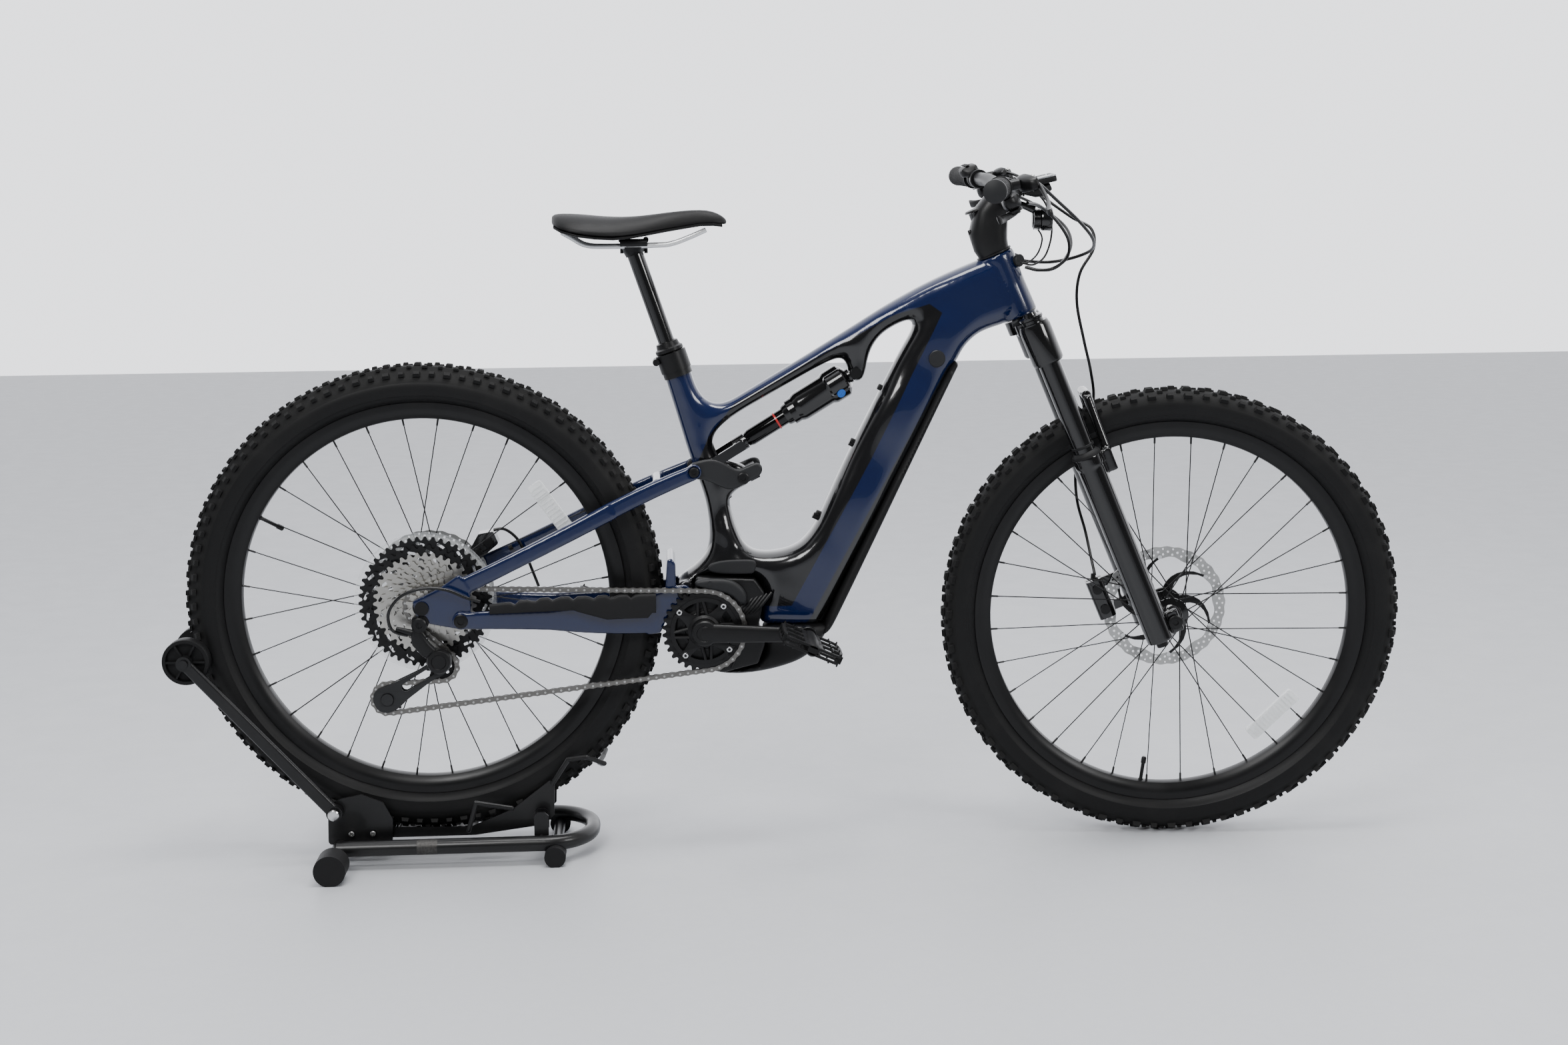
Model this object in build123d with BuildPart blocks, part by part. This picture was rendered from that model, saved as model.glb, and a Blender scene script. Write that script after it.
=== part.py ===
from build123d import *
import os
from math import atan2, cos, degrees, pi, radians, sin, tan

# A full-suspension electric mountain bicycle held by a folding tubular wheel stand, in millimetres.
# +X is the way the bicycle faces, +Z is up, and the drive side faces -Y. The origin is on the floor,
# below the middle of the whole object.

# Driving dimensions
REAR_AXLE_X = -582
REAR_AXLE_Z = 421
WHEELBASE = 1204
HEAD_ANGLE = 67.4
FORK_OFFSET = 44
FRONT_AXLE_Z = 372.4
STEER_TURN = -5
REAR_TYRE_R = 379
FRONT_TYRE_R = 372
TYRE_W = 63
RIM_INNER_R = 292
RIM_FLANGE_R = 318
BRACKET_X, BRACKET_Z = 442, 370
CRANK_LENGTH = 163
RING_TEETH = 32
CHAIN_PITCH = 12.7
CHAIN_Y = -55
ROTOR_R = 101.5
REAR_ROTOR_Y = 62
SPOKES = 32
RUN_GAP = 0.05

# Suspension pivots, as distance ahead of the rear axle and height
MAIN_PIVOT = (410, 430)
HORST_PIVOT = (61, 401)
STAY_TOP = (430, 624)
ROCKER_PIVOT = (508, 612)
YOKE_PIVOT = (452, 630)
SHOCK_EYE = (690, 774)
EYE_CLEARANCE = 4.2

# Stand
ARM_PIVOT = (-154, 86)
ROLLER_AXLE = (-375, 338)

ring_r = CHAIN_PITCH / 2 / sin(pi / RING_TEETH)
MIDDLE_MIN = (Align.CENTER, Align.CENTER, Align.MIN)


def spot(x, z, y=0):
    """A point from its distance ahead of the rear axle, its height and its side offset."""
    return Vector(REAR_AXLE_X + x, y, z)


def side(y=0):
    """Upright plane facing the drive side: local x runs ahead of the rear axle, local y is height."""
    return Plane(origin=(REAR_AXLE_X, y, 0), x_dir=(1, 0, 0), z_dir=(0, -1, 0))


def rod(start, end, radius, mode=Mode.ADD):
    """Round bar from one point to another."""
    with Locations(Plane(origin=start, z_dir=end - start).location):
        Cylinder(radius, (end - start).length, align=MIDDLE_MIN, mode=mode)


def pin(centre, y_start, y_end, radius, mode=Mode.ADD):
    """Round bar across the bicycle, between two side offsets."""
    rod(spot(*centre, y_start), spot(*centre, y_end), radius, mode)


def ring(centre, y_start, y_end, radius, bore):
    """Round boss across the bicycle with a hole through it."""
    pin(centre, y_start, y_end, radius)
    pin(centre, y_start, y_end, bore, Mode.SUBTRACT)


def plate(outline, y, width, corner=0, mode=Mode.ADD):
    """Flat plate with a side-view outline, from one side offset and width thick towards the drive side."""
    with BuildSketch(side(y)) as face:
        with BuildLine():
            Polyline(*outline, close=True)
        make_face()
        if corner:
            fillet(face.vertices(), corner)
    extrude(face.sketch, amount=width, mode=mode)


def slab(outline, width, corner=0, mode=Mode.ADD):
    """Flat plate centred on the middle plane."""
    plate(outline, width / 2, width, corner, mode)


def link(start, end, y, width, radius, mode=Mode.ADD):
    """Straight link with round ends, in side view."""
    run = Vector(end[0] - start[0], end[1] - start[1])
    middle = ((start[0] + end[0]) / 2, (start[1] + end[1]) / 2)
    with BuildSketch(side(y)) as face:
        with Locations(Location((*middle, 0), (0, 0, degrees(atan2(run.Y, run.X))))):
            SlotCenterToCenter(run.length, 2 * radius)
    extrude(face.sketch, amount=width, mode=mode)


def tube_along(stations, mode=Mode.ADD):
    """Lofted tube through stations of (x, z, y, depth, width), each cut square to the tube's own line."""
    first, last = stations[0], stations[-1]
    normal = spot(*last[:2], last[2]) - spot(*first[:2], first[2])
    sections = []
    for x, z, y, depth, width in stations:
        across = Vector(0, 1, 0) - normal * (normal.Y / normal.length**2)
        with BuildSketch(Plane(origin=spot(x, z, y), x_dir=across, z_dir=normal)) as section:
            RectangleRounded(width, depth, 0.42 * min(width, depth))
        sections.append(section.sketch)
    loft(sections, mode=mode)


def cord_radii(points):
    """Bend radius for each corner of a cord's route."""
    radii = []
    for before, here, after in zip(points, points[1:], points[2:]):
        run_in, run_out = here - before, after - here
        turn = radians(run_in.get_angle(run_out))
        radii.append(0.45 * min(run_in.length, run_out.length) / tan(turn / 2))
    return radii


def cord(name, points, diameter):
    """Tube of straight runs joined by tangent arcs."""
    radii = cord_radii(points)
    with BuildLine(mode=Mode.PRIVATE) as route:
        FilletPolyline(*points, radius=radii)
    path = route.wires()[0]
    with BuildSketch(Plane(origin=path @ 0, z_dir=path % 0), mode=Mode.PRIVATE) as section:
        Circle(diameter / 2)
    sweep(section.sketch, path=path)
    print(f"{name}: length {path.length:.0f}, smallest bend radius {min(radii):.1f}")


def save(piece, name):
    """Label a finished piece and write it."""
    piece.part.label = name
    export_step(piece.part, f"parts/{name}.step")


os.makedirs("parts", exist_ok=True)

# The steering assembly is drawn in its own frame: z up the steering axis from the point level with the
# front axle, x ahead of it and y to the left. It is turned a little to the drive side.
lean = radians(HEAD_ANGLE)
axis_up = Vector(-cos(lean), 0, sin(lean))
axis_ahead = Vector(sin(lean), 0, cos(lean))
steer_foot = spot(WHEELBASE, FRONT_AXLE_Z) - axis_ahead * FORK_OFFSET
turned_ahead = axis_ahead.rotate(Axis((0, 0, 0), axis_up), STEER_TURN)
STEER = Plane(origin=steer_foot, x_dir=turned_ahead, z_dir=axis_up)


def ahead(x, y, z):
    """A point of the steering assembly in the part's frame."""
    return STEER.from_local_coords(Vector(x, y, z))


def bar(start, end, radius, mode=Mode.ADD):
    """Round bar between two points of the steering assembly."""
    rod(ahead(*start), ahead(*end), radius, mode)


def block(low, high, corner=0, mode=Mode.ADD):
    """Box between two corners, in the steering assembly's frame, rounded along its up edges."""
    centre = [(a + b) / 2 for a, b in zip(low, high)]
    size = [b - a for a, b in zip(low, high)]
    foot = ahead(centre[0], centre[1], low[2])
    with BuildSketch(Plane(origin=foot, x_dir=STEER.x_dir, z_dir=STEER.z_dir)) as face:
        if corner:
            RectangleRounded(size[0], size[1], corner)
        else:
            Rectangle(size[0], size[1])
    extrude(face.sketch, amount=size[2], mode=mode)


# ---------------------------------------------------------------- stand
TUBE_R = 12.5
RAIL_Y = 80
RAIL_Z = 33
RAIL_REAR, RAIL_FRONT = -149, 254

with BuildPart() as stand_base:
    rail_points = [spot(RAIL_REAR, RAIL_Z, -RAIL_Y), spot(RAIL_FRONT, RAIL_Z, -RAIL_Y)]
    rail_points += [spot(RAIL_FRONT, RAIL_Z, RAIL_Y), spot(RAIL_REAR, RAIL_Z, RAIL_Y)]
    with BuildLine(mode=Mode.PRIVATE) as rail:
        FilletPolyline(*rail_points, radius=RAIL_Y - 8)
    with BuildSketch(Plane(origin=rail.line @ 0, z_dir=rail.line % 0), mode=Mode.PRIVATE) as rail_section:
        Circle(TUBE_R)
    sweep(rail_section.sketch, path=rail.line)
    rod(spot(RAIL_REAR, 25, -130), spot(RAIL_REAR, 25, 130), TUBE_R)
    rod(spot(197, 17, -82), spot(197, 17, 82), 9)
    for y in (-RAIL_Y, RAIL_Y):
        rod(spot(197, 17, y), spot(197, RAIL_Z, y), 8)
save(stand_base, "stand_base")

with BuildPart() as stand_feet:
    for way in (-1, 1):
        rod(spot(RAIL_REAR, 24, way * 118), spot(RAIL_REAR, 24, way * 162), 25)
        rod(spot(197, 16, way * 70), spot(197, 16, way * 104), 17)
    slab([(-200, -5), (240, -5), (240, 0), (-200, 0)], 400, mode=Mode.SUBTRACT)
    add(stand_base.part, mode=Mode.SUBTRACT)
save(stand_feet, "stand_feet")

TRAY_OUTLINE = [(-100, 60), (-66, 36), (66, 36), (176, 50), (194, 66), (196, 120), (188, 124), (128, 78)]
with BuildPart() as stand_tray:
    for y in (-33, 37):
        plate(TRAY_OUTLINE + [(60, 50), (-66, 52)], y, 4)
    for x, z in ((-62, 41), (120, 52)):
        rod(spot(x, z, -36), spot(x, z, 36), 4)
    slab([(-66, 36), (66, 36), (66, 41), (-66, 41)], 74)
    for way in (-1, 1):
        loop = [(192, 118, 37), (219, 160, 44), (250, 166, 52), (277, 151, 40), (273, 145, 22), (267, 141, 0)]
        points = [spot(x, z, way * y) for x, z, y in loop]
        for start, end in zip(points, points[1:]):
            rod(start, end, 4)
            with Locations(end):
                Sphere(4)
        hook = [(126, 80, 37), (128, 86, 58), (71, 97, 60), (58, 52, 60)]
        points = [spot(x, z, way * y) for x, z, y in hook]
        for start, end in zip(points, points[1:]):
            rod(start, end, 4)
            with Locations(end):
                Sphere(4)
        plate([(163, 48), (186, 48), (186, 74), (180, 80), (169, 80), (163, 74)], way * 44 + 2, 4)
        rod(spot(174.5, 68, way * 30), spot(174.5, 68, way * 66), 5)
        plate([(163, 34), (186, 34), (186, 74), (180, 80), (169, 80), (163, 74)], way * 64 + 2, 4)
        rod(spot(174.5, 40, way * 62), spot(174.5, 36, way * 80), 4)
    add(stand_base.part, mode=Mode.SUBTRACT)
save(stand_tray, "stand_tray")

QUADRANT = [(-168, 30), (-66, 30), (-64, 70), (-78, 98), (-112, 112), (-145, 106), (-166, 96)]
with BuildPart() as stand_quadrants:
    for y in (-43, 47):
        plate(QUADRANT, y, 4, 6)
    plate([(-160, 30), (-70, 30), (-70, 34), (-160, 34)], 43, 86)
    pin(ARM_PIVOT, -47, 47, 6.05, Mode.SUBTRACT)
    for way in (-1, 1):
        for x in (-130, -96):
            rod(spot(x, 48, way * 47), spot(x, 48, way * 50), 4.5)
    for x in (-130, -96):
        for way in (-1, 1):
            plate([(x - 9, 20), (x + 9, 20), (x + 9, 34), (x - 9, 34)], 44 if way > 0 else -43, 1)
    add(stand_base.part, mode=Mode.SUBTRACT)
save(stand_quadrants, "stand_quadrants")

with BuildPart() as stand_arm_bars:
    for way in (-1, 1):
        tube_along([(*ARM_PIVOT, way * 56, 22, 12), (*ROLLER_AXLE, way * 62, 20, 10)])
        pin(ARM_PIVOT, way * 49, way * 63, 13)
        pin(ROLLER_AXLE, way * 58, way * 68, 12)
    pin(ROLLER_AXLE, -70, 70, 4)
    for way in (-1, 1):
        pin(ARM_PIVOT, way * 36, way * 66, 6)
        pin(ARM_PIVOT, way * 63, way * 68, 9)
        pin(ROLLER_AXLE, way * 68, way * 72, 7)
save(stand_arm_bars, "stand_arm_bars")

ROLLER_R = 36.5
with BuildPart() as stand_rollers:
    for way in (-1, 1):
        ring(ROLLER_AXLE, way * 34, way * 56, ROLLER_R, 4.1)
        for turn in range(5):
            a = 2 * pi * turn / 5
            hole = (ROLLER_AXLE[0] + 21 * cos(a), ROLLER_AXLE[1] + 21 * sin(a))
            pin(hole, way * 30, way * 60, 7.5, Mode.SUBTRACT)
save(stand_rollers, "stand_rollers")

# ---------------------------------------------------------------- frame
SEAT_TOP = (397, 809)
POST_UP = Vector(-0.3186, 0, 0.9479)
DOWN_TUBE = [(594, 359, 0, 86, 80), (684, 543, 0, 86, 78), (764, 706, 0, 86, 74), (826, 833, 0, 92, 66)]
TOP_TUBE = [(452, 700, 0, 46, 40), (560, 752, 0, 46, 44), (690, 818, 0, 50, 48), (800, 878, 0, 62, 50)]
SEAT_STRUT = [(431, 690, 0, 46, 42), (455, 630, 0, 44, 44), (472, 570, 0, 46, 48), (484, 505, 0, 62, 60)]
HEAD_WEB = [(757, 889), (781, 850), (846, 800), (866, 815), (886, 833), (922, 853), (948, 866)]
HEAD_WEB += [(938, 890), (926, 920), (914, 952), (882, 944), (794, 908)]
CRADLE = [(418, 455), (446, 484), (466, 500), (560, 492), (614, 506), (650, 500), (640, 372), (532, 372)]
CRADLE += [(543, 404), (530, 452), (428, 457)]
BRACKET = [(636, 800), (668, 762), (690, 762), (704, 776), (712, 802), (726, 838), (690, 840)]
MOTOR = [(430, 455), (524, 450), (540, 426), (529, 372), (540, 345), (528, 312), (470, 298), (415, 316)]
MOTOR += [(392, 350), (398, 398), (425, 412)]
BATTERY = [(607, 386, 0, 66, 58), (796, 771, 0, 66, 54)]
DOWN_CAVITY = [(594, 359, 0, 76, 68), (812, 804, 0, 76, 62)]
COVER = [(640, 352), (806, 690), (854, 786), (842, 792), (780, 668), (626, 352)]
HEAD_LOW, HEAD_HIGH = 546, 652
HEAD_BORE_R = 25
SHOCK_SPACE_R = 23.5
SHOCK_SWINGS = (0, 1.5, 3, 4.5)
STEERER_R = 14.3


def seat_point(distance):
    """A point on the seat tube's axis, measured up from the collar's top."""
    return spot(*SEAT_TOP) + POST_UP * distance


shock_run = Vector(SHOCK_EYE[0] - YOKE_PIVOT[0], 0, SHOCK_EYE[1] - YOKE_PIVOT[1])
shock_way = shock_run.normalized()


def shock_point(distance, y=0):
    """A point on the shock's line, measured down from its upper eye."""
    return spot(*SHOCK_EYE, y) - shock_way * distance


with BuildPart() as frame:
    tube_along(DOWN_TUBE)
    tube_along(TOP_TUBE)
    tube_along(SEAT_STRUT)
    rod(seat_point(-170), seat_point(-30), 21)
    slab(HEAD_WEB, 56, 5)
    bar((0, 0, HEAD_LOW), (0, 0, HEAD_HIGH), 30)
    slab(CRADLE, 80, 3)
    slab(BRACKET, 34, 3)
    pin(ROCKER_PIVOT, -22, 22, 15)
    slab([(470, 596), (512, 597), (520, 612), (512, 627), (470, 640)], 44)
    pin(MAIN_PIVOT, -37, 37, 13)
    slab([(402, 426), (414, 418), (432, 440), (440, 470), (420, 462)], 74)
    tube_along(DOWN_CAVITY, mode=Mode.SUBTRACT)
    slab(MOTOR, 120, mode=Mode.SUBTRACT)
    rod(seat_point(-262), seat_point(0), 15.5, Mode.SUBTRACT)
    bar((0, 0, 500), (0, 0, 700), HEAD_BORE_R, Mode.SUBTRACT)
    pin(ROCKER_PIVOT, -40, 40, 7, Mode.SUBTRACT)
    pin(MAIN_PIVOT, -60, 60, 7.5, Mode.SUBTRACT)
    pin(SHOCK_EYE, -40, 40, 5, Mode.SUBTRACT)
    slab([(650, 790), (664, 740), (720, 740), (716, 788), (700, 806), (672, 806)], 26, mode=Mode.SUBTRACT)
    slab(COVER, 90, mode=Mode.SUBTRACT)
    for swing in SHOCK_SWINGS:
        swung = shock_way.rotate(Axis.Y, swing)
        rod(spot(*SHOCK_EYE) - swung * 21, spot(*SHOCK_EYE) - swung * 150, SHOCK_SPACE_R, Mode.SUBTRACT)
save(frame, "frame")

with BuildPart() as battery_pack:
    tube_along(BATTERY)
save(battery_pack, "battery_pack")

with BuildPart() as motor_unit:
    slab(MOTOR, 96, 6)
    pin((BRACKET_X, BRACKET_Z), -46, 46, 41)
    for way in (-1, 1):
        pin((BRACKET_X, BRACKET_Z), way * 47, way * 51, 30)
    pin((BRACKET_X, BRACKET_Z), -60, 60, 12 + RUN_GAP, Mode.SUBTRACT)
    pin(MAIN_PIVOT, -60, 60, 13.4, Mode.SUBTRACT)
    add(frame.part, mode=Mode.SUBTRACT)
save(motor_unit, "motor_unit")

SKID = [(452, 292), (508, 289), (604, 314), (634, 352), (641, 371), (533, 371), (543, 345)]
SKID += [(531, 309), (470, 295)]
CHAIN_COVER = [(427, 447), (436, 453), (484, 453), (506, 436), (510, 414), (501, 412), (484, 432), (440, 442)]
PORT_COVER = [(447, 459), (452, 480), (520, 481), (526, 475), (524, 462), (518, 458)]
with BuildPart() as frame_covers:
    slab(COVER, 72)
    slab(SKID, 74)
    tube_along(DOWN_CAVITY, mode=Mode.SUBTRACT)
    add(frame.part, mode=Mode.SUBTRACT)
    add(motor_unit.part, mode=Mode.SUBTRACT)
    plate(CHAIN_COVER, -50, 14)
    plate(PORT_COVER, -40, 3, 2)
save(frame_covers, "frame_covers")

with BuildPart() as frame_fasteners:
    rod(seat_point(-38), seat_point(0), 23)
    rod(seat_point(-300), seat_point(10), 15.5, Mode.SUBTRACT)
    for x, z in ((689, 657), (630, 540)):
        rod(spot(x - 9, z + 4.5), spot(x + 4, z - 2), 5)
    add(frame.part, mode=Mode.SUBTRACT)
    for low, high in ((HEAD_LOW, HEAD_LOW + 11), (HEAD_HIGH - 11, HEAD_HIGH)):
        bar((0, 0, low), (0, 0, high), HEAD_BORE_R)
        bar((0, 0, low - 1), (0, 0, high + 1), STEERER_R + RUN_GAP, Mode.SUBTRACT)
    for centre, reach, radius in ((ROCKER_PIVOT, 31.4, 7), (MAIN_PIVOT, 50, 7.5), (SHOCK_EYE, 17, 5)):
        pin(centre, -reach, reach, radius)
    for way in (-1, 1):
        pin(SHOCK_EYE, way * 17, way * 20, 9)
        pin(ROCKER_PIVOT, way * 31.4, way * 34, 11)
save(frame_fasteners, "frame_fasteners")

with BuildPart() as dropper_lower:
    rod(seat_point(-250), seat_point(6), 15.45)
    rod(seat_point(6), seat_point(18), 17.5)
    rod(seat_point(-246), seat_point(19), 13 + RUN_GAP, Mode.SUBTRACT)
save(dropper_lower, "dropper_lower")

# ---------------------------------------------------------------- rear suspension
YOKE_END = [(352, 364), (372, 366), (386, 396), (408, 417), (423, 430), (410, 443), (396, 440), (352, 427)]
ROCKER_CHEEK = [(430, 612), (420, 620), (424, 634), (436, 636), (456, 641)]
ROCKER_CHEEK += [(520, 626), (522, 600), (500, 598)]
with BuildPart() as chainstay:
    for way in (-1, 1):
        tube_along([(62, 401, way * 83, 26, 9), (84, 401, way * 83, 28, 9)])
        tube_along([(84, 401, way * 83, 28, 9), (130, 399, way * 72, 31, 12), (200, 396, way * 60, 36, 14)])
        front_run = [(200, 396, way * 60, 36, 14), (290, 394, way * 46.5, 54, 13)]
        front_run += [(372, 396, way * 43.5, 60, 11)]
        tube_along(front_run)
        plate(YOKE_END, -38 if way < 0 else 49.5, 11.5)
        pin(MAIN_PIVOT, way * 38, way * 49.5, 13)
        pin(HORST_PIVOT, way * 78.5, way * 87, 14)
        pin(HORST_PIVOT, way * 66, way * 78.5, 5)
    slab([(381, 436), (398, 440), (398, 478), (392, 487), (385, 484)], 99)
    plate([(384, 437), (398, 440), (398, 450), (384, 450)], -37, 12)
    plate([(384, 437), (398, 440), (398, 450), (384, 450)], 49, 12)
    pin(MAIN_PIVOT, -60, 60, 7.5 + RUN_GAP, Mode.SUBTRACT)
save(chainstay, "chainstay")

with BuildPart() as chainstay_guard:
    ribs = [(108, 421, -75, 12, 12), (200, 420, -61, 18, 15)]
    ribs += [(290, 424, -51, 26, 12), (362, 424, -50, 24, 10)]
    tube_along(ribs)
    add(chainstay.part, mode=Mode.SUBTRACT)
    plate([(80, 427), (400, 431), (400, 480), (80, 480)], -30, 60, mode=Mode.SUBTRACT)
save(chainstay_guard, "chainstay_guard")

DROPOUT = [(-15, 432), (-8, 404), (14, 395), (58, 386), (76, 396), (76, 448), (60, 474), (28, 452)]
AXLE_R = 6
with BuildPart() as seatstay:
    for way in (-1, 1):
        plate(DROPOUT, -69 if way < 0 else 78, 9, 4)
        tube_along([(48, 446, way * 73.5, 28, 9), (154, 495, way * 67, 26, 13), (300, 566, way * 51, 28, 15)])
        top_run = [(290, 561.5, way * 52, 27, 14), (360, 594, way * 45.5, 26, 13)]
        top_run += [(428, 622, way * 43.5, 24, 12)]
        tube_along(top_run)
        pin(STAY_TOP, way * 37.3, way * 49.5, 12)
        pin(STAY_TOP, way * 30, way * 60, 4 + EYE_CLEARANCE, Mode.SUBTRACT)
    rod(spot(372, 606, -44), spot(372, 606, 44), 8)
    pin(HORST_PIVOT, -90, 90, 5 + RUN_GAP, Mode.SUBTRACT)
    pin((0, REAR_AXLE_Z), -90, 90, AXLE_R, Mode.SUBTRACT)
save(seatstay, "seatstay")

with BuildPart() as rear_axle:
    pin((0, REAR_AXLE_Z), -80, 80, AXLE_R)
    for way in (-1, 1):
        pin((0, REAR_AXLE_Z), way * 78, way * 82, 11)
save(rear_axle, "rear_axle")

with BuildPart() as rear_caliper:
    plate([(58, 478), (76, 470), (112, 500), (104, 520), (80, 516)], REAR_ROTOR_Y + 15, 30, 4)
    plate([(50, 460), (98, 460), (98, 506), (50, 506)], REAR_ROTOR_Y + 1.8, 3.6, mode=Mode.SUBTRACT)
    add(seatstay.part, mode=Mode.SUBTRACT)
    plate([(40, 456), (66, 468), (62, 480), (44, 470)], 68.9, 5)
save(rear_caliper, "rear_caliper")

GUIDE_AXLE, TENSION_AXLE = (26, 324), (-61, 273)
CAGE_Y = -59.6
with BuildPart() as derailleur_body:
    pin((-4, 396), -90, -79, 12)
    link((-4, 396), (-6, 376), -80, 9, 11)
    link((-6, 376), (24, 344), -72, 16, 10)
    pin((24, 336), -88, -70, 19)
    link((-4, 396), (2, 400), -78.2, 5, 9)
save(derailleur_body, "derailleur_body")

with BuildPart() as derailleur_cage:
    for y in (CAGE_Y + 5.5, CAGE_Y - 3.5):
        link(GUIDE_AXLE, TENSION_AXLE, y, 2, 11)
        pin(TENSION_AXLE, y, y - 2, 24)
    for centre in (GUIDE_AXLE, TENSION_AXLE):
        pin(centre, CAGE_Y + 3.5, CAGE_Y - 3.5, 3)
    pin((24, 336), CAGE_Y - 5.5, -69.5, 12)
    plate([(14, 322), (38, 322), (38, 340), (14, 340)], CAGE_Y - 3.5, 2)
save(derailleur_cage, "derailleur_cage")

for name, centre, radius in (("guide_pulley", GUIDE_AXLE, 20), ("tension_pulley", TENSION_AXLE, 20)):
    with BuildPart() as pulley:
        ring(centre, CAGE_Y + 2.9, CAGE_Y - 2.9, radius, 3 + RUN_GAP)
    save(pulley, name)

with BuildPart() as rocker_link:
    for way in (-1, 1):
        plate(ROCKER_CHEEK, -24 if way < 0 else 31, 7)
        pin(STAY_TOP, way * 24, way * 31, 12)
        pin(STAY_TOP, way * 31, way * 49.5, 4)
        pin(YOKE_PIVOT, way * 31, way * 37, 4)
    pin(ROCKER_PIVOT, -60, 60, 7 + RUN_GAP, Mode.SUBTRACT)
save(rocker_link, "rocker_link")

with BuildPart() as shock_can:
    rod(shock_point(0) + Vector(0, -12.5, 0), shock_point(0) + Vector(0, 12.5, 0), 10)
    rod(shock_point(9), shock_point(30), 12)
    rod(shock_point(26), shock_point(122), 21)
    rod(shock_point(122), shock_point(130), 16)
    rod(shock_point(34), shock_point(132), 9.5 + RUN_GAP, Mode.SUBTRACT)
    pin(SHOCK_EYE, -20, 20, 5 + RUN_GAP, Mode.SUBTRACT)
save(shock_can, "shock_can")

YOKE_Y = 31.3
YOKE_W = 5.4
with BuildPart() as shock_shaft:
    rod(shock_point(92), shock_point(212), 9.5)
    rod(shock_point(205), shock_point(226), 13)
    rod(shock_point(216, -YOKE_Y - YOKE_W), shock_point(216, YOKE_Y + YOKE_W), 8)
    yoke_root = (SHOCK_EYE[0] - shock_way.X * 216, SHOCK_EYE[1] - shock_way.Z * 216)
    for inner_y in (-YOKE_Y, YOKE_Y + YOKE_W):
        link(yoke_root, YOKE_PIVOT, inner_y, YOKE_W, 8)
        pin(YOKE_PIVOT, inner_y, inner_y - YOKE_W, 12.5)
    pin(YOKE_PIVOT, -60, 60, 4 + EYE_CLEARANCE, Mode.SUBTRACT)
save(shock_shaft, "shock_shaft")

# ---------------------------------------------------------------- wheels
SPOKE_R = 1.0
HUB_FLANGE_R = 29


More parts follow.
